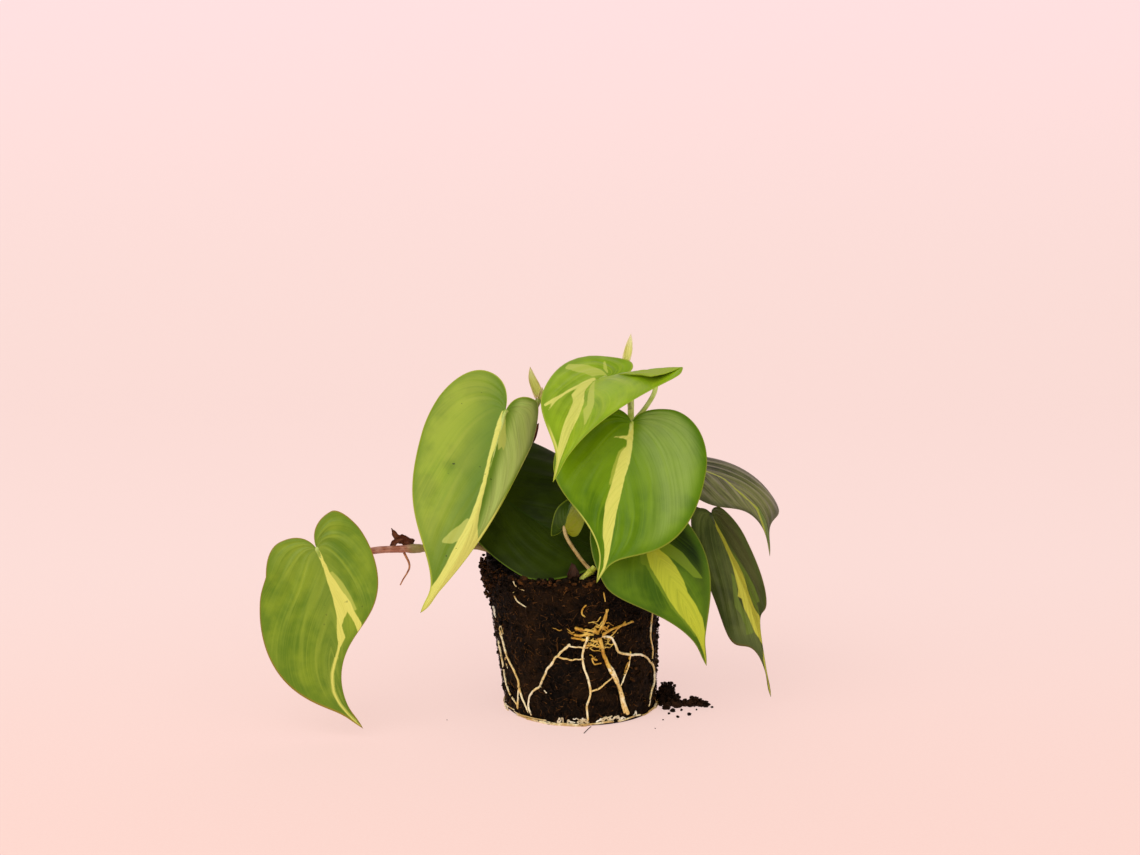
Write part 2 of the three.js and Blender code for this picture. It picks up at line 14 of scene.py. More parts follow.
import bpy
import numpy as np
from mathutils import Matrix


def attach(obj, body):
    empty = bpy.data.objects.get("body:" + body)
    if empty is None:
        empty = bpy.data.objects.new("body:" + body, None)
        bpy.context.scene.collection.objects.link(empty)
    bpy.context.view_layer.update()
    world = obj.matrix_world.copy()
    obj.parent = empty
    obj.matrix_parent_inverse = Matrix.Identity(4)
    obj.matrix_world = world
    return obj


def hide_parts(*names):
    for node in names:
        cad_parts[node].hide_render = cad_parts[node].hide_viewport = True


MM = 0.001
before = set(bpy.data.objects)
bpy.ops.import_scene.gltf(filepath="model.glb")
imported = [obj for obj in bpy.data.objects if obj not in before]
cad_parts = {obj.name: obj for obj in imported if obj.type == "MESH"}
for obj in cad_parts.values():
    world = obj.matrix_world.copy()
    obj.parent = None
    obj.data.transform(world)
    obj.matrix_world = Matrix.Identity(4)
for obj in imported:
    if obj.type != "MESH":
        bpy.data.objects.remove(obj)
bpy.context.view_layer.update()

# %% [markdown]
# ## Tools for growing shapes
#
# A plant has no flat faces to extrude. Almost every piece here is either a tube along a curved line
# (stems, roots, fibres) or a thin sheet (leaves, dry sheaths), so we write one helper for each.
# The points are kept in NumPy arrays, because a leaf has thousands of them and a Python loop over
# each would be slow. Noise made from whole numbers gives the same plant on every run.

# %% Repeatable noise
NOISE_SHIFT = 571.3
X_FACTOR, Y_FACTOR, Z_FACTOR = 374761393, 668265263, 1442695041
SEED_FACTOR = 1274126177
LOW_BITS = 0xFFFF
TINY = 1e-9


def lump_noise(points, size, seed):
    """A smooth number from -1 to 1 at each point. Size is the width of one lump."""
    scaled = np.asarray(points, float) / size + NOISE_SHIFT
    cell = np.floor(scaled).astype(np.int64)
    share = scaled - cell
    share = share * share * (3 - 2 * share)
    total = np.zeros(len(scaled))
    for corner in np.ndindex(2, 2, 2):
        x, y, z = (cell + corner).T
        mixed = x * X_FACTOR + y * Y_FACTOR + z * Z_FACTOR + seed * SEED_FACTOR
        mixed = (mixed ^ (mixed >> 13)) * SEED_FACTOR
        value = ((mixed ^ (mixed >> 16)) & LOW_BITS) / (LOW_BITS / 2) - 1
        total += value * np.prod(np.where(corner, share, 1 - share), axis=1)
    return total


def unit(vectors):
    """The same directions, each one long."""
    vectors = np.asarray(vectors, float)
    return vectors / np.maximum(np.linalg.norm(vectors, axis=-1, keepdims=True), TINY)


def smoothstep(low, high, value):
    """0 below low, 1 above high and a soft step between."""
    share = np.clip((value - low) / (high - low), 0, 1)
    return share * share * (3 - 2 * share)


def mix(first, second, share):
    return first + (second - first) * share


print("noise at three places:", np.round(lump_noise(np.eye(3), 1.0, 1), 2))


# %% A smooth line through a few points
def smooth_line(points, steps):
    """Steps + 1 places on one smooth curve through all the given points."""
    given = np.asarray(points, float)
    given = np.vstack([2 * given[0] - given[1], given, 2 * given[-1] - given[-2]])
    spans = len(points) - 1
    line = []
    for place in np.linspace(0, spans, steps + 1):
        first = min(int(place), spans - 1)
        t = place - first
        a, b, c, d = given[first:first + 4]
        ab, bc, cd = (max(np.linalg.norm(q - p), 1e-6) ** 0.5 for p, q in ((a, b), (b, c), (c, d)))
        leave = ((b - a) / ab - (c - a) / (ab + bc) + (c - b) / bc) * bc
        arrive = ((c - b) / bc - (d - b) / (bc + cd) + (d - c) / cd) * bc
        line.append(b + leave * t + (3 * (c - b) - 2 * leave - arrive) * t ** 2
                    + (2 * (b - c) + leave + arrive) * t ** 3)
    return np.array(line)


print("the middle of a bend:", np.round(smooth_line([(0, 0, 0), (1, 0, 0), (1, 1, 0)], 4)[2], 2))


# %% A tube along a line
def tube(line, radii, sides=8, flat=1.0, flat_way=(0, 0, 1)):
    """Points and faces of a closed tube. A point's mark is (share along, share around, radius)."""
    line = np.asarray(line, float)
    radii = np.broadcast_to(radii, len(line))
    forward = unit(np.gradient(line, axis=0))
    start = np.cross(forward[0], flat_way)
    if np.linalg.norm(start) < 0.1:
        start = np.cross(forward[0], (1, 0, 0))
    across = [unit(start)]
    for way in forward[1:]:
        across.append(unit(across[-1] - way * np.dot(across[-1], way)))
    across = np.array(across)
    up = np.cross(forward, across)
    turn = np.arange(sides) * 2 * math.pi / sides
    cosine, sine = np.cos(turn)[None, :, None], np.sin(turn)[None, :, None]
    ring = cosine * across[:, None] + flat * sine * up[:, None]
    points = (line[:, None] + radii[:, None, None] * ring).reshape(-1, 3)
    share = np.linspace(0, 1, len(line))
    marks = np.stack([np.repeat(share, sides), np.tile(turn / (2 * math.pi), len(line)),
                      np.repeat(radii, sides)], -1)
    i, k = np.meshgrid(np.arange(len(line) - 1), np.arange(sides), indexing="ij")
    after = (k + 1) % sides
    low, high = i * sides, (i + 1) * sides
    quads = np.stack([low + k, low + after, high + after, high + k], -1)
    faces = quads.reshape(-1, 4).tolist()
    faces.append(list(range(sides))[::-1])
    faces.append(list(range((len(line) - 1) * sides, len(line) * sides)))
    return points, faces, marks


print("points in a short tube:", len(tube([(0, 0, 0), (1, 0, 0), (2, 0, 1)], 0.5)[0]))


# %% Gather many small shapes for one piece
class Bundle:
    """Collects points, faces and marks of many shapes, so that they become one mesh."""

    def __init__(self):
        self.points = []
        self.faces = []
        self.marks = []
        self.count = 0

    def add(self, points, faces, marks):
        self.points.append(np.asarray(points, float))
        self.faces.extend([corner + self.count for corner in face] for face in faces)
        self.marks.append(np.asarray(marks, float))
        self.count += len(points)

    def all(self):
        return np.vstack(self.points), self.faces, np.vstack(self.marks)


# %% Turn arrays into a piece that rides on the plant
def make_piece(name, points, faces, finish, marks=None, stands_for=()):
    """A smooth mesh from points in mm. Marks are named triples of numbers that materials can read."""
    mesh = bpy.data.meshes.new(name)
    mesh.from_pydata((np.asarray(points) * MM).tolist(), [], faces)
    mesh.polygons.foreach_set("use_smooth", [True] * len(mesh.polygons))
    for label, values in (marks or {}).items():
        mark = mesh.attributes.new(label, "FLOAT_VECTOR", "POINT")
        mark.data.foreach_set("vector", np.asarray(values, float).ravel())
    mesh.materials.append(finish)
    mesh.update()
    piece = bpy.data.objects.new(name, mesh)
    bpy.context.scene.collection.objects.link(piece)
    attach(piece, "root")
    if stands_for:
        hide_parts(*stands_for)
    print(name, "points", len(mesh.vertices), "triangles", sum(len(f) - 2 for f in faces))


# %% [markdown]
# ## Tools for finishes
#
# Every finish is a small net of shader nodes. Writing each node and link out in full would bury the
# idea, so these helpers let a formula read nearly like arithmetic. A colour is written as the hex
# code a painter would pick and turned into the linear numbers that light is computed with.

# %% Colours, sums and layers
def paint(code):
    """A linear colour from a hex code."""
    parts = [int(code[k:k + 2], 16) / 255 for k in (1, 3, 5)]
    return tuple(p / 12.92 if p <= 0.04045 else ((p + 0.055) / 1.055) ** 2.4 for p in parts) + (1.0,)


def feed(tree, socket, value):
    """Links a socket to another one, or sets it to a plain value."""
    if isinstance(value, bpy.types.NodeSocket):
        tree.links.new(value, socket)
    else:
        socket.default_value = value


def sums(tree, operation, *values):
    node = tree.nodes.new("ShaderNodeMath")
    node.operation = operation
    for socket, value in zip(node.inputs, values):
        feed(tree, socket, value)
    return node.outputs[0]


def ramp(tree, value, low, high):
    """0 below low, 1 above high and a soft step between. Low may be the greater one."""
    node = tree.nodes.new("ShaderNodeMapRange")
    node.interpolation_type = "SMOOTHSTEP"
    feed(tree, node.inputs["Value"], value)
    feed(tree, node.inputs["From Min"], low)
    feed(tree, node.inputs["From Max"], high)
    return node.outputs[0]


def blend(tree, share, first, second):
    """The first colour where share is 0 and the second where it is 1."""
    node = tree.nodes.new("ShaderNodeMix")
    node.data_type = "RGBA"
    feed(tree, node.inputs[0], share)
    feed(tree, node.inputs[6], first)
    feed(tree, node.inputs[7], second)
    return node.outputs[2]


def layer(tree, color, mask, share, other):
    """Lays another colour over the first by a mask, and never by more than a share."""
    return blend(tree, sums(tree, "MULTIPLY", mask, share), color, other)


# %% Noise, and marks that a material reads
def gathered(tree, x, y, z):
    node = tree.nodes.new("ShaderNodeCombineXYZ")
    for socket, value in zip(node.inputs, (x, y, z)):
        feed(tree, socket, value)
    return node.outputs[0]


def grain(tree, vector, scale, detail=2.0, rough=0.5):
    """Noise from 0 to 1 along a vector."""
    node = tree.nodes.new("ShaderNodeTexNoise")
    feed(tree, node.inputs["Vector"], vector)
    feed(tree, node.inputs["Scale"], scale)
    node.inputs["Detail"].default_value = detail
    node.inputs["Roughness"].default_value = rough
    return node.outputs[0]


def split_mark(tree, label):
    """The three numbers of a mark that a piece carries."""
    read = tree.nodes.new("ShaderNodeAttribute")
    read.attribute_name = label
    split = tree.nodes.new("ShaderNodeSeparateXYZ")
    tree.links.new(read.outputs["Vector"], split.inputs[0])
    return split.outputs


def own_place(tree):
    """The place on the piece itself, in metres."""
    return tree.nodes.new("ShaderNodeTexCoord").outputs["Object"]


# %% New finishes and new effects
def new_finish(name, roughness=0.5, specular=0.5):
    material = bpy.data.materials.new(name)
    material.use_nodes = True
    shader = material.node_tree.nodes["Principled BSDF"]
    shader.inputs["Roughness"].default_value = roughness
    shader.inputs["Specular IOR Level"].default_value = specular
    return material, material.node_tree, shader


def new_effect(name, inputs, outputs):
    """An empty node group with number inputs (name, value), and the node that its outputs end in."""
    group = bpy.data.node_groups.new(name, "ShaderNodeTree")
    for label, value in inputs:
        kind = "NodeSocketVector" if value is None else "NodeSocketFloat"
        socket = group.interface.new_socket(label, in_out="INPUT", socket_type=kind)
        if value is not None:
            socket.default_value = value
    for label in outputs:
        group.interface.new_socket(label, in_out="OUTPUT", socket_type="NodeSocketFloat")
    given = group.nodes.new("NodeGroupInput").outputs
    results = group.nodes.new("NodeGroupOutput").inputs
    return group, given, results


def use_effect(tree, group, **values):
    """Places an effect in a material and gives its outputs."""
    node = tree.nodes.new("ShaderNodeGroup")
    node.node_tree = group
    for label, value in values.items():
        feed(tree, node.inputs[label], value)
    return node.outputs


def raise_surface(tree, shader, height, strength, depth):
    """Bumps the surface by a height from 0 to 1 that stands for a depth in mm."""
    bump = tree.nodes.new("ShaderNodeBump")
    bump.inputs["Strength"].default_value = strength
    bump.inputs["Distance"].default_value = depth * MM
    feed(tree, bump.inputs["Height"], height)
    tree.links.new(bump.outputs[0], shader.inputs["Normal"])


# %% [markdown]
# ## How a heart leaf grows
#
# A heart leaf has a midrib that starts in a notch, the sinus, and hangs down to a long drip tip.
# Side veins fan out from the notch and the midrib and sweep towards the tip. Modelling the blade
# as a grid that follows those veins pays off twice: the folds run the way a real leaf folds, and a
# point's vein number and its share of the way out can drive the colour later.
#
# Each half has its own width, lobe, belly and drip, because no real leaf is symmetrical. The halves
# are folded up from the midrib, cupped, and rippled along the margin.

# %% The margin of one half and the places on it
HALF = dict(width=36, lobe=18, lobe_top=0.45, widest=0.22, belly=0.45, drip=0.35,
            fold=8, cup=-10, lobe_lift=0, wave=0.8, waves=2, phase=0)
LOBE_TOP_VEIN = 0.16
WIDEST_VEIN = 0.4
LAST_SINUS_VEIN = 0.3
FAR_AWAY = 1e9
FAR_OUTSIDE = -30.0


def half(**given):
    return {**HALF, **given}


def cubic(points, t):
    a, b, c, d = (np.asarray(p, float) for p in points)
    t = np.asarray(t, float)[..., None]
    return (1 - t) ** 3 * a + 3 * (1 - t) ** 2 * t * b + 3 * (1 - t) * t ** 2 * c + t ** 3 * d


def margin_places(length, side, vein):
    """Where each vein meets the margin, as (along, out) in mm, for vein numbers from 0 to 1."""
    width, lobe = side["width"], side["lobe"]
    rest = length * (1 - side["widest"])
    top = (-lobe, side["lobe_top"] * width)
    wide = (side["widest"] * length, width)
    up = cubic(((0, 0), (-0.6 * lobe, 0.02 * width), (-lobe, 0.4 * top[1]), top),
               np.clip(vein / LOBE_TOP_VEIN, 0, 1))
    around = cubic((top, (-lobe, mix(top[1], width, 0.55)), (mix(wide[0], -lobe, 0.5), width), wide),
                   np.clip((vein - LOBE_TOP_VEIN) / (WIDEST_VEIN - LOBE_TOP_VEIN), 0, 1))
    down = cubic((wide, (wide[0] + side["belly"] * rest, width),
                  (length - side["drip"] * rest, 0.02 * width), (length, 0)),
                 np.clip((vein - WIDEST_VEIN) / (1 - WIDEST_VEIN), 0, 1))
    number = vein[..., None]
    return np.where(number < LOBE_TOP_VEIN, up, np.where(number < WIDEST_VEIN, around, down))


sample = margin_places(100, HALF, np.array([0, LOBE_TOP_VEIN, WIDEST_VEIN, 1]))
print("notch, lobe, widest place and tip of a plain half:", np.round(sample).tolist())


# %% The midrib and the folded, cupped blade around it
def midrib_of(leaf):
    """Points and directions along a midrib through four places, with the length up to each."""
    a, b, c, d = (np.array(leaf[key], float) for key in ("sinus", "third", "two_thirds", "tip"))
    controls = (a, -5 / 6 * a + 3 * b - 1.5 * c + d / 3, a / 3 - 1.5 * b + 3 * c - 5 / 6 * d, d)
    points = cubic(controls, np.linspace(0, 1, 401))
    reach = np.concatenate([[0], np.cumsum(np.linalg.norm(np.diff(points, axis=0), axis=1))])
    return points, unit(np.gradient(points, reach, axis=0)), reach


def midrib_frame(leaf, midrib, along):
    """The point, the direction, the way the face looks and the way across, at a length along."""
    points, forward, reach = midrib
    inside = np.clip(along, 0, reach[-1])
    at = np.stack([np.interp(inside, reach, points[:, k]) for k in range(3)], -1)
    ahead = unit(np.stack([np.interp(inside, reach, forward[:, k]) for k in range(3)], -1))
    face = mix(unit(leaf["face"]), unit(leaf["face_tip"]), (inside / reach[-1])[..., None])
    face = unit(face - ahead * (face * ahead).sum(-1, keepdims=True))
    return at, ahead, face, np.cross(face, ahead)


def blade_places(leaf, midrib, along, out, side, vein):
    """Places on one half of the blade. Side is -1 for the left half and 1 for the right."""
    at, ahead, face, across = midrib_frame(leaf, midrib, along)
    shape = leaf["left"] if side < 0 else leaf["right"]
    behind = np.minimum(along, 0)
    start = math.radians(shape["fold"])
    bend = math.radians(shape["cup"]) / shape["width"]
    end = start + bend * out
    sideways = (np.sin(end) - math.sin(start)) / bend
    rise = (math.cos(start) - np.cos(end)) / bend
    ripple = np.sin(2 * math.pi * (shape["waves"] * vein + shape["phase"]))
    rise = rise + shape["lobe_lift"] * (behind / shape["lobe"]) ** 2
    rise = rise + shape["wave"] * (out / shape["width"]) ** 2 * ripple
    sideways = side * sideways
    return at + ahead * behind[..., None] + across * sideways[..., None] + face * rise[..., None]


# %% [markdown]
# ## From a grid to a thin sheet
#
# The grid closes up at the notch and at the tip, where many veins meet. We join the points that lie
# on one spot, drop the faces that vanish, and give the sheet a front, a back and a narrow rim. Blender
# has a Solidify modifier for this; doing it by hand lets the blade thin out towards its margin and
# lets every point know whether it is on the pale underside.

# %% Join the points that share a spot
def weld(points, faces):
    """The first point on each spot and the faces between them, with vanished ones left out."""
    rounded = np.round(points, 3)
    _, first, index = np.unique(rounded, axis=0, return_index=True, return_inverse=True)
    index = index.reshape(-1)
    kept = []
    for face in index[faces].tolist():
        corners = list(dict.fromkeys(face))
        if len(corners) > 2:
            kept.append(corners)
    return first, kept


def face_normals(points, faces):
    """The direction that each point's surface looks, from the faces around it."""
    padded = np.array([face + face[-1:] * (4 - len(face)) for face in faces])
    corners = points[padded]
    normal = np.cross(corners[:, 2] - corners[:, 0], corners[:, 3] - corners[:, 1])
    normals = np.zeros_like(points)
    for k in range(4):
        np.add.at(normals, padded[:, k], normal)
    return unit(normals)


# %% A sheet with a front, a back and a rim
def sheet_shell(points, faces, thickness):
    """Points and faces of a closed sheet. The second half of the points is the underside."""
    normals = face_normals(points, faces)
    half_way = normals * (np.asarray(thickness) / 2).reshape(-1, 1)
    count = len(points)
    edges = set()
    for face in faces:
        edges.update(zip(face, face[1:] + face[:1]))
    closed = list(faces)
    closed.extend([corner + count for corner in reversed(face)] for face in faces)
    closed.extend([b, a, a + count, b + count] for a, b in edges if (b, a) not in edges)
    return np.vstack([points + half_way, points - half_way]), closed


# %% [markdown]
# ## The lime stripe
#
# The stripe is a sport of the plant: cells without green, which grew out from the notch in wedges.
# So its edges are sharp, run along the veins and split into prongs. An image could paint that, but
# it would blur close up and would not follow the folds. Instead each leaf carries the outline of
# its stripe in its own measures, millimetres along the midrib and to the side. Every point of the
# mesh gets its distance inside that outline, and the material turns the distance into a crisp edge.

# %% How far inside an outline each point lies
def inside_outline(outline, along, side):
    """Millimetres inside a closed outline of (along, side) corners. Outside is negative."""
    corners = np.array(outline, float)
    nearest = np.full(along.shape, FAR_AWAY)
    within = np.zeros(along.shape, bool)
    for (a0, s0), (a1, s1) in zip(corners, np.roll(corners, -1, axis=0)):
        da, ds = a1 - a0, s1 - s0
        share = np.clip(((along - a0) * da + (side - s0) * ds) / max(da * da + ds * ds, TINY), 0, 1)
        nearest = np.minimum(nearest, np.hypot(along - a0 - share * da, side - s0 - share * ds))
        if abs(ds) > TINY:
            crossing = (s0 > side) != (s1 > side)
            within ^= crossing & (along < a0 + (side - s0) / ds * da)
    return np.where(within, nearest, -nearest)


def inside_any(outlines, along, side):
    """The greatest of these distances over several outlines."""
    best = np.full(along.shape, FAR_OUTSIDE)
    for outline in outlines:
        best = np.maximum(best, inside_outline(outline, along, side))
    return best


def band(*stations):
    """The outline of a stripe from (along, left edge, right edge) stations."""
    return [(a, left) for a, left, _ in stations] + [(a, right) for a, _, right in reversed(stations)]


# %% [markdown]
# ## Veins, blotches and stripe edges as effects
#
# All nine leaves share the same anatomy, so three node groups hold it. The first turns the vein
# number into soft light veins and fine streaks. The second makes the stripe's jagged edge: noise is
# stretched along the veins before it shifts the edge, which is how the green cells really divide.
# The third gives cloudy patches, for the uneven green of a living leaf.

# %% Leaf veins
leaf_veins, given, results = new_effect("leaf veins", [("Vein", 0.0), ("Out", 0.0), ("Count", 9.0)],
                                        ["Line", "Streak", "Relief"])
streak = grain(leaf_veins, gathered(leaf_veins, sums(leaf_veins, "MULTIPLY", given["Vein"], 62.0),
                                    sums(leaf_veins, "MULTIPLY", given["Out"], 1.3), 3.0), 1.0, 3.0, 0.6)
wander = grain(leaf_veins, gathered(leaf_veins, sums(leaf_veins, "MULTIPLY", given["Vein"], 7.0),
                                    sums(leaf_veins, "MULTIPLY", given["Out"], 2.0), 8.0), 1.0, 1.0)
counted = sums(leaf_veins, "MULTIPLY_ADD", given["Vein"], given["Count"], wander)
from_line = sums(leaf_veins, "SUBTRACT", sums(leaf_veins, "FRACT", counted), 0.5)
from_line = sums(leaf_veins, "ABSOLUTE", from_line)
line = ramp(leaf_veins, from_line, 0.2, 0.0)
line = sums(leaf_veins, "MULTIPLY", line, ramp(leaf_veins, given["Out"], 1.0, 0.35))
feed(leaf_veins, results["Line"], line)
feed(leaf_veins, results["Streak"], streak)
feed(leaf_veins, results["Relief"], sums(leaf_veins, "MULTIPLY_ADD", line, -0.7,
                                         sums(leaf_veins, "MULTIPLY", streak, 0.32)))

# %% Stripe edge
stripe_edge, given, results = new_effect(
    "stripe edge", [("Inside", 0.0), ("Vein", 0.0), ("Out", 0.0), ("Ragged", 0.6)], ["Mask"])
jag = grain(stripe_edge, gathered(stripe_edge, sums(stripe_edge, "MULTIPLY", given["Vein"], 48.0),
                                  sums(stripe_edge, "MULTIPLY", given["Out"], 4.0), 1.0), 1.0, 2.0, 0.65)
shift = sums(stripe_edge, "MULTIPLY", sums(stripe_edge, "SUBTRACT", jag, 0.5), given["Ragged"])
shift = sums(stripe_edge, "MULTIPLY", shift, 2.0)
moved = sums(stripe_edge, "ADD", given["Inside"], shift)
feed(stripe_edge, results["Mask"], ramp(stripe_edge, moved, -0.28, 0.28))

# %% Cloudy patches
cloudy, given, results = new_effect(
    "cloudy patches", [("Place", None), ("Scale", 60.0), ("Low", 0.35), ("High", 0.65)], ["Patch"])
patch = grain(cloudy, given["Place"], given["Scale"], 3.0, 0.55)
feed(cloudy, results["Patch"], ramp(cloudy, patch, given["Low"], given["High"]))
print("effects:", [group.name for group in bpy.data.node_groups])

# %% [markdown]
# ## One finish for each leaf
#
# A leaf's colour is built up in the order that it would be painted: cloudy green, light veins, a
# greyer band beside the midrib, painted light on one half (a pale painted sheen, and on the lower
# right leaf a painted shadow), the pale half-green cells, the lime stripe, a lime margin on one
# half, small dark specks, the thin pale rim and at last the matt underside. The leaves differ in age
# and light, so each one gets its own greens, and some go without painted light, margin or specks,
# but the recipe stays the same. The skin is a satin gloss, and the relief of the veins goes into the
# normal, where it breaks up the highlights.

# %% Pigments
RED_KEPT = 0.74
GREEN_KEPT = 0.71
BLUE_KEPT = 0.26
BLUE_KEPT_BY_LIME = 0.5


def pigment(code, blue=BLUE_KEPT):
    """The leaf's own colour for the one seen under a bright soft light, which adds a pale gloss."""
    return tuple(seen * share for seen, share in zip(paint(code), (RED_KEPT, GREEN_KEPT, blue, 1.0)))


print("mid green pigment:", np.round(pigment("#6a9410"), 3))


# %% Where the painted light and the lime margin show
PAINTED_LIGHT_STARTS = 1.5
PAINTED_LIGHT_FULL = 8.0
PAINTED_LIGHT_FADES = 0.26
MARGIN_SOFTNESS = 0.25


def painted_light_share(tree, painted_light, painted_light_to, vein, out, side_mm, streak):
    """Painted light on one half, pale for a sheen and dark for a shadow. It fades past one vein and
    towards the rim.
    """
    on_half = ramp(tree, side_mm, math.copysign(PAINTED_LIGHT_STARTS, painted_light), math.copysign(PAINTED_LIGHT_FULL, painted_light))
    in_lobe = ramp(tree, vein, painted_light_to, painted_light_to - PAINTED_LIGHT_FADES)
    in_lobe = sums(tree, "MULTIPLY", in_lobe, ramp(tree, out, 1.0, 0.75))
    painted_light_mask = sums(tree, "MULTIPLY", sums(tree, "MULTIPLY", on_half, in_lobe), abs(painted_light))
    lined = sums(tree, "MULTIPLY_ADD", ramp(tree, streak, 0.3, 0.6), 0.35, 0.65)
    return sums(tree, "MULTIPLY", painted_light_mask, lined)


def margin_share(tree, lime_margin, vein, side_mm, rim_mm):
    """A thin band at the rim of one half, below the lobe. The size of lime_margin is its width."""
    width = abs(lime_margin)
    this_half = ramp(tree, side_mm, 0.0, math.copysign(0.5, lime_margin))
    at_margin = ramp(tree, rim_mm, width + MARGIN_SOFTNESS, width - MARGIN_SOFTNESS)
    at_margin = sums(tree, "MULTIPLY", at_margin, ramp(tree, vein, 0.3, 0.42))
    return sums(tree, "MULTIPLY", at_margin, this_half)


# %% The recipe for a leaf's finish
def leaf_finish(name, green, deep, fresh, stripe, pale, beside, rim, under,
                veins=9.0, vein_show=0.4, streaks=0.5, grey_band=0.35, band_width=13.0, specks=0.0,
                ragged=0.5, gloss=0.38, shine=0.3, blue=BLUE_KEPT,
                painted_light=0.0, painted_light_tint="#b3cf84", painted_light_to=0.5, lime_margin=0.0):
    """A leaf's skin. The sign of painted_light and of lime_margin picks a half: minus is the left one.
    """
    material, tree, shader = new_finish(name, roughness=gloss, specular=shine)
    green, deep, fresh, beside = (pigment(code, blue) for code in (green, deep, fresh, beside))
    stripe, pale = pigment(stripe, BLUE_KEPT_BY_LIME), pigment(pale, (blue + BLUE_KEPT_BY_LIME) / 2)
    under = pigment(under, blue)
    vein, out, rim_mm = split_mark(tree, "growth")
    inside, pale_inside, side_mm = split_mark(tree, "stripe")
    behind, edge_green, _ = split_mark(tree, "sides")
    ribs = use_effect(tree, leaf_veins, Vein=vein, Out=out, Count=veins)
    patch = use_effect(tree, cloudy, Place=own_place(tree), Scale=62.0, Low=0.36, High=0.66)["Patch"]
    broad = use_effect(tree, cloudy, Place=own_place(tree), Scale=24.0, Low=0.38, High=0.62)["Patch"]
    # cloudy green with light streaks and veins
    color = blend(tree, patch, green, deep)
    color = layer(tree, color, broad, 0.45, fresh)
    drawn = ramp(tree, ribs["Streak"], 0.42, 0.72)
    color = layer(tree, color, drawn, streaks, fresh)
    dark_drawn = ramp(tree, ribs["Streak"], 0.46, 0.25)
    color = layer(tree, color, dark_drawn, streaks * 0.8, deep)
    color = layer(tree, color, ribs["Line"], vein_show, fresh)
    # the greyer band beside the midrib, and painted light on one half: a painted sheen, or with a dark
    # tint a painted shadow
    near_rib = ramp(tree, sums(tree, "ABSOLUTE", side_mm), band_width, 0.5)
    color = layer(tree, color, near_rib, grey_band, beside)
    if painted_light:
        painted_light_mask = painted_light_share(tree, painted_light, painted_light_to, vein, out, side_mm, ribs["Streak"])
        color = blend(tree, painted_light_mask, color, pigment(painted_light_tint, 0.5))
    color = layer(tree, color, ramp(tree, edge_green, 0.0, 1.0), 0.5, deep)
    # the pale cells, the stripe and the lime margin
    pale_mask = use_effect(tree, stripe_edge, Inside=pale_inside, Vein=vein, Out=out,
                           Ragged=ragged)["Mask"]
    color = layer(tree, color, pale_mask, 0.85, pale)
    lime = use_effect(tree, stripe_edge, Inside=inside, Vein=vein, Out=out, Ragged=ragged * 0.7)["Mask"]
    faint = layer(tree, stripe, drawn, 0.35, pale)
    color = blend(tree, lime, color, faint)
    if lime_margin:
        at_margin = margin_share(tree, lime_margin, vein, side_mm, rim_mm)
        color = blend(tree, at_margin, color, stripe)
    # specks, the rim and the underside
    if specks:
        spots = grain(tree, own_place(tree), 420.0, 1.0, 0.4)
        spot_mask = sums(tree, "MULTIPLY", ramp(tree, spots, 0.775, 0.8), specks)
        color = blend(tree, spot_mask, color, pigment("#3c4a12"))
    color = layer(tree, color, ramp(tree, rim_mm, 0.75, 0.1), 0.8, pigment(rim))
    cells = grain(tree, own_place(tree), 1500.0, 2.0, 0.6)
    under_color = layer(tree, under, cells, 0.6, fresh)
    color = blend(tree, behind, color, under_color)
    tree.links.new(color, shader.inputs["Base Color"])
    # the gloss and the relief
    rough = sums(tree, "MULTIPLY_ADD", ribs["Streak"], 0.16, gloss - 0.08)
    rough = sums(tree, "MULTIPLY_ADD", behind, 0.2, rough)
    tree.links.new(rough, shader.inputs["Roughness"])
    height = sums(tree, "MULTIPLY_ADD", cells, 0.12, ribs["Relief"])
    raise_surface(tree, shader, height, 0.55, 0.35)
    return material


# %% [markdown]
# ## The nine leaves
#
# Each leaf is listed with the line of its midrib in space, the way its face looks at the base and at
# the tip, the shape of its two halves, the path of its stalk and the outlines of its stripe. The
# numbers are real lengths on this plant. The big left leaf has its right half folded back, the top
# leaf is folded like a saddle so that one lobe stands up behind, and the two right ones hang.

# %% Leaf table: the left side and the top
LEAVES = {}
LEAVES["leaf_far_left"] = dict(
    petiole=[(-118, -35.5, 90), (-121, -33, 97), (-128, -36, 101.5)],
    sinus=(-134, -46, 95.5), third=(-127, -52, 66), two_thirds=(-126, -56, 36.5), tip=(-111, -59, 5),
    face=(-0.1, -0.95, 0.25), face_tip=(-0.1, -1, 0.1),
    left=half(width=36.5, lobe=12, lobe_top=0.42, widest=0.34, belly=0.6),
    right=half(width=26, lobe=13.5, lobe_top=0.6, widest=0.16, belly=0.32, drip=0.7),
    lime=[band((0, -0.8, 0.9), (7, -0.8, 0.9), (14, -0.6, 2.1), (17, -0.5, 3.6), (22, 0.5, 6.2),
               (26, 1.4, 8.8), (30, 2.3, 10.1), (33, 2.9, 8.8), (36, 3.4, 7.0), (39.5, 3.4, 5.9),
               (42, 3.3, 6.7), (45.4, 3.5, 7.7), (48.5, 4.0, 6.3), (51, 3.6, 5.0), (56, 1.9, 3.2),
               (60, 0.3, 1.5), (64, -1.4, -0.3), (68, -2.5, -1.4), (73, -3.2, -2.3),
               (78, -3.1, -2.3), (86, -2.0, -1.4), (95, -0.3, 0.3)),
          band((24, 4, 7.8), (28, 6.8, 10.5), (32.5, 9, 12.6), (35, 10.7, 14.2), (38, 12.5, 16.2),
               (41, 13.8, 16.3), (44.7, 14.9, 15.7), (46, 15.2, 15.5))],
    pale=[band((13, 1, 3.4), (19, 3, 7.5), (26, 5.2, 11.2), (32, 8.7, 14)),
          band((56, 1.6, 3.6), (64, -2, 0.2), (73, -3.6, -1.8), (80, -3.4, -1.6), (92, -0.6, 0.4))],
    finish=dict(green="#86a32c", deep="#648916", fresh="#a9bf57", stripe="#eeee84", pale="#c0cc6c",
                beside="#6d8a45", rim="#b08a4c", under="#9db06a", specks=0.4, veins=7.0,
                vein_show=0.5, streaks=0.32))
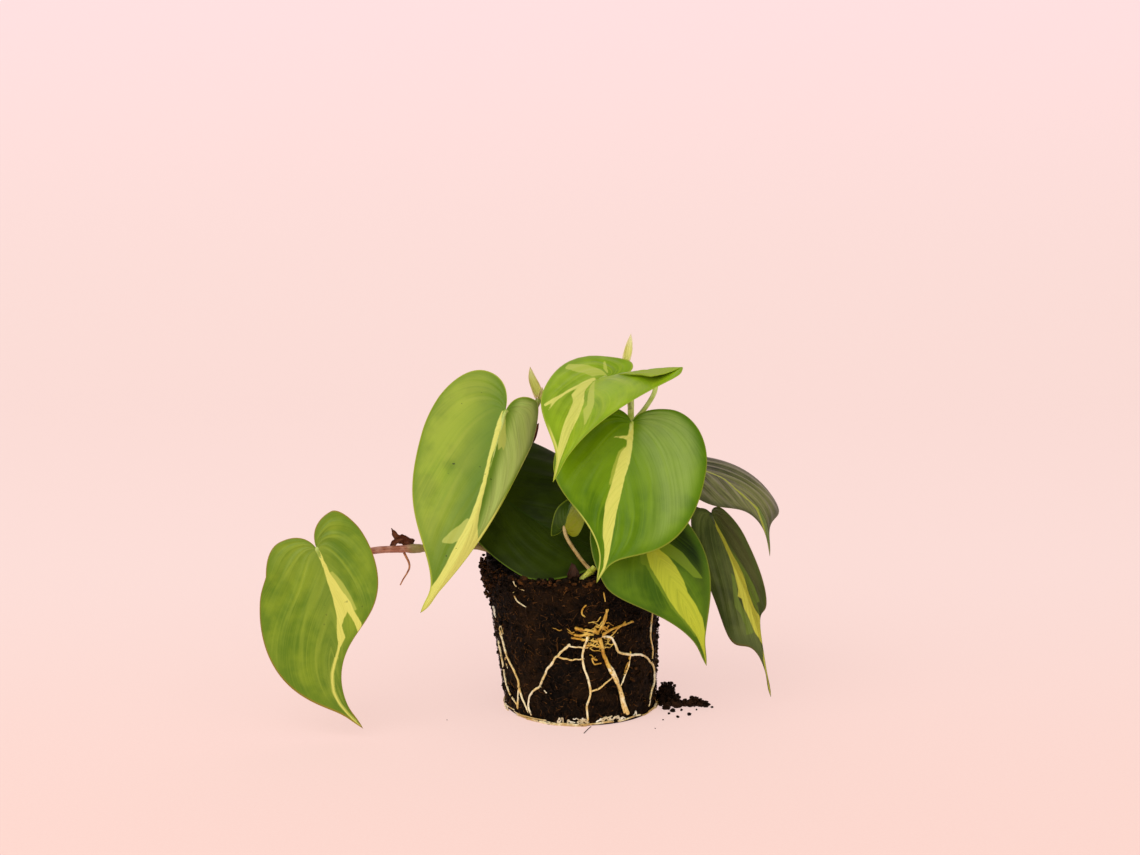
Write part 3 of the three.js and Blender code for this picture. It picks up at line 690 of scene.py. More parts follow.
LEAVES["leaf_big_left"] = dict(
    drip_tip=1.5,
    petiole=[(-29, 26.6, 142), (-29.3, 16, 152), (-32.5, -6, 160.5)],
    sinus=(-39, -22, 162), third=(-48, -40, 131.5), two_thirds=(-59, -55, 100.5), tip=(-81, -62, 66.5),
    face=(-0.25, -0.9, 0.4), face_tip=(-0.2, -0.9, 0.3),
    left=half(width=39.8, lobe=19, lobe_top=0.42, widest=0.16, belly=0.72, drip=0.3),
    right=half(width=24, lobe=14, lobe_top=0.7, widest=0.06, fold=-45, cup=-30, belly=0.12),
    lime=[band((0, -1.7, 0.4), (7.7, -2.2, 0.4), (17.7, -2.0, 0.4), (26, -1.9, -0.2),
               (39, -1.5, 0.4), (49, -1.8, 0.9), (56, -2.0, 1.7), (62, -2.3, 3.2), (66, -2.7, 5.4),
               (69, -3.0, 7.2), (72, -3.6, 19), (80, -3.8, 19), (86, -3.4, 18), (96, -3.5, 15),
               (106, -4, 11), (116, -2, 4)),
          band((52, 12.5, 33), (60, 10.9, 33), (66, 9.6, 33), (72, 8, 33))],
    pale=[[(0, 0), (8, 2.9), (14, 5.3), (16.5, 5.6), (20, 5.3), (18, 3.6), (21, 2.2), (16, 0.3)],
          band((60, -3.4, -1.4), (65, -6, -2.4), (68, -8, -2.4), (71.6, -9.4, -2.4), (75, -10.6, -5.4),
               (77, -10.8, -9.6)),
          band((10, 23, 40), (18, 21, 40), (35, 17, 40), (49, 13.5, 40), (56, 12, 40))],
    # The painted light here is a pale painted sheen over the whole right half.
    finish=dict(green="#8eb038", deep="#6c901c", fresh="#b9c975", stripe="#eef08c", pale="#c6d286",
                beside="#628a3e", rim="#c2cc60", under="#b9c878", specks=0.9, veins=7.0, vein_show=0.5,
                grey_band=0.85, band_width=25.0, streaks=0.35, shine=0.22, blue=0.2,
                painted_light=0.85, painted_light_tint="#cbe48e", painted_light_to=1.2, lime_margin=1.7))
LEAVES["leaf_top"] = dict(
    petiole=[(26.4, 24.5, 155), (24, 16, 166), (18, 8, 172.4)],
    sinus=(12.5, 4, 175.3), third=(2, -13, 169.8), two_thirds=(-5.5, -38, 154), tip=(-14.5, -50, 131),
    face=(0.1, -0.4, 0.9), face_tip=(0, -0.9, 0.3),
    left=half(width=20.5, lobe=19.5, lobe_top=0.5, widest=0.37, belly=0.5, drip=0.4, fold=13),
    right=half(width=56, lobe=14, lobe_top=0.6, widest=0.26, belly=0.28, drip=0.66, fold=40, cup=-14,
               lobe_lift=-2),
    lime=[band((6, -1.6, -0.6), (12, -2.4, -0.4), (20, -5, -0.9), (27, -6.2, 1.2), (30, -4.6, 2.2),
               (33, -4, 2.6), (43.5, -4.5, 2), (51, -4.7, 0.4), (55, -4.7, -0.1), (61, -4.2, -0.5),
               (69, -2.8, -0.8), (78, -0.8, 0.1), (82, -0.3, 0.3)),
          # This lime outline runs along the crease of the fold: partly the pale stripe, partly a painted
          # highlight on the ridge.
          [(6, -2), (18, -5.4), (29.5, -11.2), (40.5, -17.4), (42, -16.6), (38, -13.9), (44, -14.4),
           (36.5, -12.4), (29, -9.2), (18.5, -4), (8, -1)]],
    pale=[band((7, -0.4, 0.8), (12, 0.2, 2.4), (20, 2, 5.4), (27, 3.4, 7.6), (32, 4.6, 9),
               (34.4, 5.2, 9.4), (37.3, 3.8, 9.7), (42, 5.2, 9.7), (46, 6.6, 9), (49, 7.6, 8.4)),
          [(-1.7, -1), (0.8, -7), (3.6, -12), (7.2, -17.5), (10.6, -17),
           (9.8, -12.5), (7.8, -7.5), (6, -3)],
          # This small pale patch on the dome is partly pale cells and partly a painted sheen.
          [(-4.7, -13), (-3, -12), (-1.4, -7), (-2, -3.4), (-3, -3.4), (-3.4, -7)]],
    finish=dict(green="#96bf2a", deep="#7ba41c", fresh="#b6d25c", stripe="#eaee88", pale="#c8d87c",
                beside="#8fb43c", rim="#b4c455", under="#97b440", veins=8.0, grey_band=0.1,
                streaks=0.3, shine=0.24, blue=0.18, lime_margin=-0.9))
LEAVES["leaf_centre"] = dict(
    petiole=[(26.3, 25, 162), (32, 19, 169), (38.5, 10, 171), (38.4, 4, 168.2), (33, -10, 161.8)],
    sinus=(25.5, -24, 156), third=(21, -37, 129.5), two_thirds=(15, -46.5, 104), tip=(7.5, -52.5, 79.4),
    face=(0, -0.9, 0.4), face_tip=(-0.1, -0.95, 0.2),
    left=half(width=36.5, lobe=8, widest=0.3, belly=0.42, drip=0.55),
    right=half(width=41, lobe=9.5, belly=0.88, drip=0.42),
    lime=[[(-1, -0.6), (5, -0.9), (6.6, -1.3), (8.6, -9.2), (8.6, -1.4), (12, -0.9), (15.7, -3.2),
           (19, -4.1), (28, -4.8), (35, -5.6), (44, -6.5), (52.7, -5.4), (60, -3.9), (67, -1),
           (75.4, 0.8), (84, -0.3), (84, 0.5), (77, 1.9), (71, 2), (62, 1.2), (56, 0.7), (46, 0.1),
           (38, 0.4), (28, 0.8), (21, 1.9), (13.5, 2.1), (6, 1.7), (-1, 1)]],
    pale=[[(12, -1.5), (15.7, -4.6), (19, -5.2), (23.7, -6.2), (30.4, -6.6), (36, -6.6), (30, -4.2),
           (19, -3), (14, -1)]],
    # The painted light here is a pale painted sheen on the right lobe.
    finish=dict(green="#6a9410", deep="#4f7a08", fresh="#86ae2c", stripe="#eaee86", pale="#b3c463",
                beside="#5f8c24", rim="#9fae5a", under="#a3bd62", veins=7.0, vein_show=0.45,
                streaks=0.22, gloss=0.3, shine=0.14, blue=0.1, painted_light=0.5, lime_margin=-0.7))

# %% Leaf table: the shaded back, the right side and the young one
LEAVES["leaf_back"] = dict(
    petiole=[(-20, 22.3, 92), (-36, 25.5, 107), (-52, 19, 120), (-57.5, 8.5, 125.3)],
    sinus=(-53.5, 0, 122.5), third=(-32, -12, 108), two_thirds=(-5.5, -21, 94), tip=(22, -25, 82.5),
    face=(0, -0.75, 0.65), face_tip=(0, -0.75, 0.65),
    left=half(width=32.5, lobe=2, lobe_top=0.3, widest=0.54, fold=13, belly=0.45, drip=0.3),
    right=half(width=46, lobe=18, widest=0.45, belly=0.5, cup=-40),
    lime=[], pale=[band((0, -0.5, 0.5), (60, -0.5, 0.5), (86, -0.2, 0.2))],
    # Its greens are darkened nearly to black: painted shade for the deep shadow it hangs in behind the
    # other leaves.
    finish=dict(green="#2f4108", deep="#1e2d04", fresh="#3c4f10", stripe="#55661f", pale="#2c4212",
                beside="#1d300c", rim="#6c8c3c", under="#36501d", veins=8.0, vein_show=0.2,
                streaks=0.2, grey_band=0.1, gloss=0.44, shine=0.1, blue=0.08))
LEAVES["leaf_low_right"] = dict(
    petiole=[(33.5, 6.5, 96), (32, -4, 103), (31, -17, 105)],
    sinus=(30, -28, 102.6), third=(43, -37, 83), two_thirds=(54.5, -43, 61.6), tip=(64, -45, 33.8),
    face=(0.1, -0.9, 0.4), face_tip=(0.1, -0.9, 0.2),
    left=half(width=33, lobe=16, fold=16, belly=0.25, drip=0.45),
    right=half(width=23, lobe=16),
    lime=[band((0, -1, 1), (8, -3, 1.6), (16, -5.6, 2.6), (20.5, -7, 4.4), (26.3, -7.1, 5.1),
               (35, -7, 5.1), (41, -6.7, 4), (48.7, -5.2, 5.2), (55.5, -2.9, 5.6), (62.5, -0.7, 4.4),
               (68, 0, 2.5), (73.5, 0.3, 1), (80, -0.3, 0.3))],
    pale=[band((0, -2, 1), (12, -8, 2), (17, -10.6, 2), (19, -8.6, 2), (26, -9.2, 2), (36, -8.7, 2),
               (44, -8, 2), (52, -5, 2), (63, -1.6, 2)),
          [(6, 1), (10, 6.5), (13.5, 7.6), (22.3, 11.7), (38.5, 14.2), (36, 10.5), (31, 8.7),
           (23.6, 6), (14, 2.1)]],
    # The dark tint laid on the right lobe is a painted shadow, where the centre leaf shades it.
    finish=dict(green="#5f841a", deep="#416612", fresh="#789a32", stripe="#cad646", pale="#7c9a2c",
                beside="#3f6420", rim="#8a9450", under="#6f8f45", veins=6.0, vein_show=0.3,
                streaks=0.25, grey_band=0.15, gloss=0.34, shine=0.16, blue=0.3,
                painted_light=0.95, painted_light_tint="#15280a"))
LEAVES["leaf_right_hanging"] = dict(
    petiole=[(47, 15.8, 111.7), (56, 15, 105), (64, 9, 103)],
    sinus=(68.8, 0, 102.7), third=(80.3, -4, 77), two_thirds=(90.4, -6, 51.8), tip=(100.9, -6, 5),
    face=(-0.6, -0.75, 0.2), face_tip=(-0.5, -0.8, 0.1),
    left=half(width=19.5, lobe=6, lobe_top=0.4, fold=10, widest=0.47, belly=0.88, drip=0.98),
    right=half(width=20, lobe=4, lobe_top=0.4, widest=0.16, fold=30, belly=0.8, drip=0.95),
    lime=[band((0, -0.5, 0.8), (14.4, 0.2, 3.4), (23.7, -0.2, 4.2), (29, -1, 5.2), (34.8, -2.1, 5.2),
               (38, -2.6, 4.2), (42, -3.4, 3.6), (45.8, -5.2, 3.4), (47, -3.3, 3.4), (52.2, -3.8, 3.7),
               (57.3, -3.1, 5.8), (65.4, -2, 4.2), (68, -1.3, 3.8), (74.6, 1.8, 3.4), (82, -0.4, 1),
               (104, -0.3, 0.6))],
    pale=[[(31.9, -3.3), (36, -2), (46, -5.2), (52, -4.4), (60, -3), (67, -2), (67.9, -6.9),
           (62, -5.8), (60.3, -6.5), (55, -7), (51.2, -8.5), (44, -7)],
          [(20, 4.4), (26, 6.8), (32, 8), (40.8, 10.3), (49.5, 10.5), (50.5, 7), (52.8, 7.8),
           (57, 6.3), (48.4, 3.4), (36, 5)]],
    # The stripe is painted brighter than its lime, as painted light on a leaf that faces away from the
    # lamps. The tint on the right lobe is partly the leaf's own browner tone and partly a painted grey
    # sheen.
    finish=dict(green="#5e7442", deep="#405430", fresh="#86986a", stripe="#eef468", pale="#7c9a46",
                beside="#45583a", rim="#73683f", under="#5c744b", veins=7.0, vein_show=0.25,
                streaks=0.4, grey_band=0.1, gloss=0.36, shine=0.26, blue=0.4,
                painted_light=0.6, painted_light_tint="#5c5a42"))
LEAVES["leaf_right_upper"] = dict(
    petiole=[(40, 11, 105), (43, 22, 118), (49, 27, 125)],
    sinus=(57, 24, 124), third=(79, 14, 116.5), two_thirds=(94, 8, 101), tip=(100, 4, 79.5),
    face=(0.1, -0.25, 0.95), face_tip=(0.8, -0.5, 0.2),
    left=half(width=26.5, lobe=10, widest=0.28, fold=3, belly=0.47, drip=0.8),
    right=half(width=30, lobe=16, widest=0.6, fold=-4, belly=0.72, drip=0.98),
    lime=[band((0, -0.4, 0.5), (10.8, -0.7, 0.6), (20, 0.4, 1.8), (29.4, -1.7, -0.4), (38.2, -1.2, 0.3),
               (44.7, 0.4, 2.3), (51.5, -1.4, 0.5), (60.9, -2.2, -1), (71, -0.3, 0.4))],
    pale=[band((44, 1, 5), (52, -1, 4.6), (60, -2, 2.5), (70, -0.5, 0.8))],
    pleats=0.55,
    finish=dict(green="#50583a", deep="#283020", fresh="#9ca078", stripe="#b5bf4c", pale="#6e8a3a",
                beside="#42502f", rim="#6a6a4c", under="#6b7753", veins=7.0, vein_show=0.6,
                streaks=0.8, grey_band=0.1, gloss=0.4, shine=0.25, blue=0.45))
LEAVES["leaf_young"] = dict(
    drip_tip=0.2,
    petiole=[(4.8, -36.2, 82), (1.3, -35, 85.5), (-4.4, -33, 93), (-8, -31, 99)],
    sinus=(-9, -30, 103.5), third=(-7.8, -31, 109), two_thirds=(-6.2, -30, 115), tip=(-4.4, -28, 121),
    face=(-0.1, -0.95, 0.1), face_tip=(0, -0.95, -0.2),
    left=half(width=11, lobe=3, widest=0.35, fold=20, cup=15, wave=0.3),
    right=half(width=7, lobe=6, lobe_top=0.8, widest=0.3, fold=20, cup=15, wave=0.3),
    lime=[band((-5, -12, -0.8), (6, -12, -0.6), (12, -12, -1.5), (15, -12, -4))],
    pale=[],
    finish=dict(green="#3a5a10", deep="#264208", fresh="#5f7c22", stripe="#8a920c", pale="#8fa03a",
                beside="#47691a", rim="#7c9236", under="#6e8a35", veins=6.0, vein_show=0.3,
                streaks=0.4, grey_band=0.1))
print("leaves listed:", len(LEAVES))

# %% [markdown]
# ## Growing the blades
#
# The visible blade is about half a millimetre thick, thinner than the solid that stands for it in
# the physics model, and it thins out to the margin. Between the main veins the surface swells by a
# quarter of a millimetre, and on the pleated upper right leaf by twice as much. That is real geometry,
# since it is what makes the soft bands of light that fan out over a real leaf; the finer lines are
# left to the material.

# %% Grow one blade
VEINS = 110
STEPS_OUT = 32
BLADE_MIDDLE = 0.55
BLADE_MARGIN = 0.16
THINS_OVER = 5
VEIN_SWEEP = 0.34
VEIN_SWELL = 0.24
TIP_LENGTH = 15
TIP_SWELL = 0.75
LEAST_REACH = 0.4


def grow_blade(name, leaf):
    midrib = midrib_of(leaf)
    length = midrib[2][-1]
    vein, out_share = np.meshgrid(np.linspace(0, 1, VEINS + 1), np.linspace(-1, 1, 2 * STEPS_OUT + 1),
                                  indexing="ij")
    share = np.abs(out_share)
    halves = []
    for side, shape in ((-1, leaf["left"]), (1, leaf["right"])):
        edge = margin_places(length, shape, vein)
        near_tip = np.clip((edge[..., 0] - length + TIP_LENGTH) / TIP_LENGTH, 0, 1)
        edge[..., 1] += TIP_SWELL * leaf.get("drip_tip", 1) * np.sin(math.pi * near_tip ** 1.6)
        foot = length * np.clip((vein - LAST_SINUS_VEIN) / (1 - LAST_SINUS_VEIN), 0, None) ** 1.2
        along = mix(foot, edge[..., 0], share)
        out = edge[..., 1] * share
        places = blade_places(leaf, midrib, along, out, side, vein)
        halves.append((places, along, side * out, edge[..., 1]))
    left = out_share < 0
    picked = [np.where(left[..., None] if a.ndim == 3 else left, a, b) for a, b in zip(*halves)]
    points, along, side_mm, reach = (p.reshape(-1, 3) if p.ndim == 3 else p.ravel() for p in picked)
    rows, columns = vein.shape
    i, k = np.meshgrid(np.arange(rows - 1), np.arange(columns - 1), indexing="ij")
    corner = i * columns + k
    quads = np.stack([corner, corner + columns, corner + columns + 1, corner + 1], -1).reshape(-1, 4)
    first, faces = weld(points, quads)
    out = share.ravel()[first]
    swept_vein = vein.ravel()[first] - VEIN_SWEEP * out ** 1.2
    return dict(name=name, leaf=leaf, midrib=midrib, length=length, faces=faces, points=points[first],
                along=along[first], side=side_mm[first], vein=swept_vein, out=out, reach=reach[first])


# %% Swell the surface between the veins
def swell_between_veins(blade, count, height):
    """Raises the surface between the main veins. It fades out where the blade is narrow."""
    normals = face_normals(blade["points"], blade["faces"])
    between_veins = np.cos(2 * math.pi * count * blade["vein"])
    band_wave = between_veins * np.sin(math.pi * np.clip(blade["out"], 0, 1))
    wide_enough = smoothstep(2, 14, blade["reach"])
    blade["points"] = blade["points"] + normals * (height * band_wave * wide_enough)[:, None]


# %% Dress one blade with its marks and finish
def make_leaf(name, leaf):
    blade = grow_blade(name, leaf)
    swell_between_veins(blade, leaf["finish"]["veins"], leaf.get("pleats", VEIN_SWELL))
    rim_mm = (1 - blade["out"]) * np.maximum(blade["reach"], LEAST_REACH)
    away_from_rim = smoothstep(0, THINS_OVER, rim_mm)
    thickness = mix(BLADE_MARGIN, BLADE_MIDDLE, away_from_rim)
    points, faces = sheet_shell(blade["points"], blade["faces"], thickness)
    lime = inside_any(leaf["lime"], blade["along"], blade["side"])
    pale = inside_any(leaf["pale"], blade["along"], blade["side"])
    shade = 1 - away_from_rim
    count = len(blade["points"])
    growth = np.stack([blade["vein"], blade["out"], rim_mm], -1)
    stripe = np.stack([lime, pale, blade["side"]], -1)
    front = np.stack([np.zeros(count), shade, np.zeros(count)], -1)
    back = front + (1, 0, 0)
    marks = dict(growth=np.vstack([growth, growth]), stripe=np.vstack([stripe, stripe]),
                 sides=np.vstack([front, back]))
    finish = leaf_finish(name.replace("leaf_", "") + " leaf skin", **leaf["finish"])
    make_piece(name + "_blade", points, faces, finish, marks, [name])
    return blade


blades = {}
for leaf_name, leaf in LEAVES.items():
    blades[leaf_name] = make_leaf(leaf_name, leaf)
    size = np.ptp(blades[leaf_name]["points"], axis=0)
    print(leaf_name, "midrib %.0f mm, box %s mm" % (blades[leaf_name]["length"], np.round(size)))

# %% [markdown]
# ## Stalks and vines
#
# A stalk leaves the vine inside a small sheath, bends towards the light and runs on under the blade as
# the midrib. The vine itself is a row of joints: at each node it swells and keeps a ring-shaped scar.
# Both are tubes, but with a radius that changes along the way, since a tube of one width is the
# quickest way to make a plant look like wire. The scars are narrow rings in the radius.

# %% The finish of green and red stems
STEM_GLOSS = 0.4


def stem_finish(name, body, dark, light, specks=0.35):
    material, tree, shader = new_finish(name, roughness=STEM_GLOSS, specular=0.4)
    along, around, green_end = split_mark(tree, "run")
    fibres = grain(tree, gathered(tree, sums(tree, "MULTIPLY", along, 6.0),
                                  sums(tree, "MULTIPLY", around, 26.0), 2.0), 1.0, 3.0, 0.6)
    clouds = use_effect(tree, cloudy, Place=own_place(tree), Scale=170.0, Low=0.4, High=0.62)["Patch"]
    dots = grain(tree, own_place(tree), 1300.0, 2.0, 0.5)
    color = blend(tree, ramp(tree, fibres, 0.35, 0.68), paint(dark), paint(body))
    color = layer(tree, color, clouds, 0.5, paint(light))
    color = layer(tree, color, green_end, 0.75, paint("#7d7f3c"))
    color = layer(tree, color, ramp(tree, dots, 0.62, 0.7), specks, paint(dark))
    tree.links.new(color, shader.inputs["Base Color"])
    rough = sums(tree, "MULTIPLY_ADD", fibres, 0.2, STEM_GLOSS - 0.1)
    tree.links.new(rough, shader.inputs["Roughness"])
    raise_surface(tree, shader, sums(tree, "MULTIPLY_ADD", dots, 0.3, fibres), 0.5, 0.25)
    return material


STEM_FINISHES = {
    "red": stem_finish("red brown vine bark", "#be7a5f", "#7a4334", "#dcac98"),
    "green": stem_finish("green vine bark", "#7f9136", "#55661c", "#a9b758"),
    "young": stem_finish("young yellow stem", "#c9c63e", "#8c9a26", "#dedc72", 0.2),
    "tan": stem_finish("tan young stalk", "#b89a5c", "#8a6c38", "#d0bd85", 0.3),
    "lime": stem_finish("lime leaf stalk", "#a9bb4a", "#7c9430", "#cbd580", 0.15),
    "pale": stem_finish("pale green stalk", "#bccb4e", "#98ae34", "#d5de84", 0.15),
    "dusk": stem_finish("dark leaf stalk", "#4f5e38", "#333e24", "#6f7a50", 0.3),
}
print("stem finishes:", list(STEM_FINISHES))

# %% Leaf stalks that run on as the midrib
STALK_LOOKS = {"leaf_far_left": "lime", "leaf_big_left": "lime", "leaf_top": "lime",
               "leaf_centre": "pale", "leaf_back": "dusk", "leaf_low_right": "green",
               "leaf_right_hanging": "dusk", "leaf_right_upper": "dusk", "leaf_young": "tan"}
STALK_FOOT = 1.5
STALK_RADIUS = 1.3
STALK_STEPS = 40
STALK_SIDES = 14
YOUNG_SHARE = 0.8
RIB_SHARES = (0.07, 0.15, 0.3, 0.45, 0.6, 0.75)
RIB_RADII = (1.0, 0.75, 0.6, 0.5, 0.38, 0.26)
RIB_END = 0.22


def make_stalk(name, blade):
    leaf = blade["leaf"]
    slim = YOUNG_SHARE if name == "leaf_young" else 1.0
    way = smooth_line(leaf["petiole"] + [leaf["sinus"]], STALK_STEPS)
    at, _, face, _ = midrib_frame(leaf, blade["midrib"], np.array(RIB_SHARES) * blade["length"])
    sunk = np.array(RIB_RADII)[:, None] * slim * 0.75 + 0.1
    rib = smooth_line(list(way[-3:]) + list(at - face * sunk), 60)[14:]
    line = np.vstack([way[:-3], rib])
    reach = np.concatenate([[0], np.cumsum(np.linalg.norm(np.diff(line, axis=0), axis=1))])
    stalk_end = reach[len(way) - 4]
    radii = mix(STALK_FOOT, STALK_RADIUS, smoothstep(0, 0.15 * stalk_end, reach)) * slim
    rib_share = np.clip((reach - stalk_end) / (reach[-1] - stalk_end), 0, 1)
    radii = np.where(reach > stalk_end, slim * mix(STALK_RADIUS, RIB_END, rib_share ** 0.6), radii)
    radii = radii * (1 + 0.03 * lump_noise(line, 3.0, 5))
    points, faces, marks = tube(line, radii, STALK_SIDES, 0.92)
    marks = marks * (1, 1, 0)
    looks = STALK_LOOKS[name]
    make_piece(name + "_stalk", points, faces, STEM_FINISHES[looks], dict(run=marks), [name])


for leaf_name, grown in blades.items():
    make_stalk(leaf_name, grown)

# %% Vines with nodes and ring scars
VINES = {
    "vine_left": dict(look="red", radius=1.9, nodes=(0.62, 0.95), slot="red_stem",
                      turns_green=(-92, -86),
                      points=[(-33, -8, 68), (-43, -13, 84), (-53, -17, 90), (-72, -20, 90),
                              (-92, -24, 90.3), (-106, -30, 91), (-119, -36, 89.5)]),
    "vine_back": dict(look="green", radius=1.7, nodes=(0.3, 0.72), slot="green_stem",
                      points=[(-15, 17, 68), (-16.5, 19, 82), (-24, 26, 107), (-29.5, 28, 130),
                              (-28.8, 26, 145), (-22.4, 18, 161.6)]),
    "vine_centre": dict(look="pale", radius=1.7, nodes=(0.35, 0.82), slot="green_stem",
                        points=[(20, 14, 68), (21, 15, 82), (24, 20, 115), (26.5, 24, 150),
                                (25.5, 26, 172), (23.6, 26, 178.6), (23.6, 26, 181.5)]),
    "vine_right": dict(look="green", radius=1.7, nodes=(0.45, 0.8), slot="green_stem",
                       points=[(25, 0, 68), (27, 2, 80), (34, 7, 97), (44, 14, 110), (54, 20, 116)]),
    "vine_young": dict(look="young", radius=1.6, nodes=(0.85,), slot="pale_sheath",
                       points=[(-6, -36, 67), (-2, -37, 75), (2, -37, 79), (7, -35.5, 83.5)]),
}
NODE_WIDTH = 0.035
NODE_SWELL, SCAR_DEPTH, SCAR_RING = 0.5, 0.22, 0.16
VINE_STEPS = 130
VINE_SIDES = 24


# %% Grow the vines
def make_vine(name, vine):
    line = smooth_line(vine["points"], VINE_STEPS)
    share = np.linspace(0, 1, len(line))
    radii = np.full(len(line), float(vine["radius"]))
    for node in vine["nodes"]:
        away = (share - node) / NODE_WIDTH
        radii += NODE_SWELL * np.exp(-away ** 2) - SCAR_DEPTH * np.exp(-((away - 0.9) * 4) ** 2)
        radii += SCAR_RING * np.exp(-((away + 0.7) * 5) ** 2)
    radii += 0.1 * lump_noise(line, 5.0, 11)
    radii[-1] *= 0.55
    radii[-2] *= 0.85
    points, faces, marks = tube(line, radii, VINE_SIDES)
    outward = unit(points - np.repeat(line, VINE_SIDES, axis=0))
    points = points + outward * (0.06 * lump_noise(points, 1.1, 4))[:, None]
    green_end = 0 * points[:, 0]
    if "turns_green" in vine:
        green_end = smoothstep(*vine["turns_green"], points[:, 0])
    marks = np.stack([marks[:, 0], marks[:, 1], green_end], -1)
    make_piece(name + "_bark", points, faces, STEM_FINISHES[vine["look"]],
               dict(run=marks), [name])


for vine_name, vine in VINES.items():
    make_vine(vine_name, vine)

# %% [markdown]
# ## Sheaths
#
# Each new leaf is born wrapped in a small sheath. Two fresh ones stand up like pale horns at the top,
# and older ones have dried to brown husks on the vine and in the peat. A sheath is a pointed sheet
# rolled around its axis, so we roll one: an arc that closes round the base and opens towards the
# tip. The dry ones are cracked and crumpled, which noise on the sheet gives.

# %% A rolled sheath
SHEATH_THICKNESS = 0.3
SHEATH_COLUMNS = 25
SHEATH_OPENS = (0, -1, 0)
LEAST_WIDTH = 0.08


def rolled_sheath(line, widths, flat, wrap_base, wrap_tip, crumple, seed):
    """A thin rolled sheet around a line, with marks (share along, share across, rim)."""
    line = np.asarray(line, float)
    forward = unit(np.gradient(line, axis=0))
    away = np.asarray(SHEATH_OPENS, float)
    outward = unit(away - forward * (forward @ away)[:, None])
    across = np.cross(forward, outward)
    rows, columns = len(line), SHEATH_COLUMNS
    points, marks = [], []
    for k in range(rows):
        share = k / (rows - 1)
        wrap = math.radians(mix(wrap_base, wrap_tip, share))
        turn = np.linspace(-wrap, wrap, columns)
        ring = -np.cos(turn)[:, None] * outward[k] * flat + np.sin(turn)[:, None] * across[k]
        points.append(line[k] + ring * widths[k])
        marks.append(np.stack([np.full(columns, share), np.linspace(0, 1, columns),
                               1 - np.abs(np.linspace(-1, 1, columns))], -1))
    points, marks = np.vstack(points), np.vstack(marks)
    points = points + np.stack([lump_noise(points, 1.4, seed + k) for k in range(3)], -1) * crumple
    i, k = np.meshgrid(np.arange(rows - 1), np.arange(columns - 1), indexing="ij")
    corner = i * columns + k
    quads = np.stack([corner, corner + 1, corner + columns + 1, corner + columns], -1).reshape(-1, 4)
    first, faces = weld(points, quads)
    shell, closed = sheet_shell(points[first], faces, np.full(len(first), SHEATH_THICKNESS))
    return shell, closed, np.vstack([marks[first], marks[first]])


def sheath_widths(width, count, start, run):
    """Half widths from the foot over a belly to a pointed end."""
    share = np.linspace(0, 1, count)
    swell = np.sin(math.pi * np.minimum(1, start + run * share)) ** 0.8
    return np.maximum(LEAST_WIDTH, width * swell)


# %% The finish of a sheath
def sheath_finish(name, body, edge, tip, dark, dry):
    material, tree, shader = new_finish(name, roughness=0.7 if dry else 0.4, specular=0.35)
    along, across, rim = split_mark(tree, "run")
    lines = grain(tree, gathered(tree, sums(tree, "MULTIPLY", along, 3.0),
                                 sums(tree, "MULTIPLY", across, 30.0), 4.0), 1.0, 2.0, 0.6)
    color = blend(tree, ramp(tree, lines, 0.35, 0.65), paint(dark), paint(body))
    color = layer(tree, color, ramp(tree, along, 0.45, 1.0), 0.8, paint(tip))
    color = layer(tree, color, ramp(tree, rim, 0.35, 0.0), 0.7, paint(edge))
    color = layer(tree, color, ramp(tree, along, 0.18, 0.0), 0.8, paint(edge))
    tree.links.new(color, shader.inputs["Base Color"])
    speckle = grain(tree, own_place(tree), 900.0, 3.0, 0.6)
    rough = sums(tree, "MULTIPLY_ADD", speckle, 0.3, 0.45 if dry else 0.25)
    tree.links.new(rough, shader.inputs["Roughness"])
    raise_surface(tree, shader, sums(tree, "ADD", lines, speckle), 0.6, 0.3)
    return material


# %% The four sheaths
fresh_sheath = sheath_finish("fresh pale sheath", "#f2e89a", "#e4cfa6", "#faf5c4", "#d2d466", False)
pink_sheath = sheath_finish("pink edged sheath", "#e4e282", "#d8b68a", "#f0edaa", "#c6c65a", False)
dry_sheath = sheath_finish("dry brown husk", "#7a3f22", "#43200f", "#68371c", "#502814", True)
dark_husk = sheath_finish("dark soil husk", "#4a2c17", "#281509", "#3c2211", "#2c180b", True)
SHEATHS = {
    "sheath_left": dict(width=2.5, flat=0.7, wraps=(150, 60), crumple=0.06, slot="pale_sheath",
                        points=[(-22.4, 18, 162.4), (-23.4, 18, 166.4), (-25.9, 18, 172.9),
                                (-27, 18, 178.8)]),
    "sheath_top": dict(width=2.2, flat=0.7, wraps=(150, 60), crumple=0.06, slot="pale_sheath",
                       points=[(23.3, 26, 179.3), (24.4, 26, 183.6), (25.6, 26, 189.5),
                               (26.4, 26, 195.3)]),
    "sheath_dead": dict(width=2.4, flat=0.6, wraps=(120, 70), crumple=0.45, slot="brown_sheath",
                        points=[(-87, -22, 92.6), (-91.5, -22.5, 94.6), (-95, -24, 96.5),
                                (-98, -24.5, 101.5)]),
    "sheath_soil": dict(width=3.0, flat=0.5, wraps=(110, 70), crumple=0.4, slot="brown_sheath",
                        points=[(-3.5, -38.8, 78), (-4, -39.6, 80), (-4.4, -39.2, 83),
                                (-5, -37.8, 86.5)]),
}


def make_sheath(name, sheath, finish):
    line = smooth_line(sheath["points"], 36)
    widths = sheath_widths(sheath["width"], len(line), 0.25, 0.76)
    points, faces, marks = rolled_sheath(line, widths, sheath["flat"], *sheath["wraps"],
                                         sheath["crumple"], 21)
    make_piece(name + "_husk", points, faces, finish, dict(run=marks), [name])


make_sheath("sheath_left", SHEATHS["sheath_left"], pink_sheath)
make_sheath("sheath_top", SHEATHS["sheath_top"], fresh_sheath)
make_sheath("sheath_dead", SHEATHS["sheath_dead"], dry_sheath)
make_sheath("sheath_soil", SHEATHS["sheath_soil"], dark_husk)

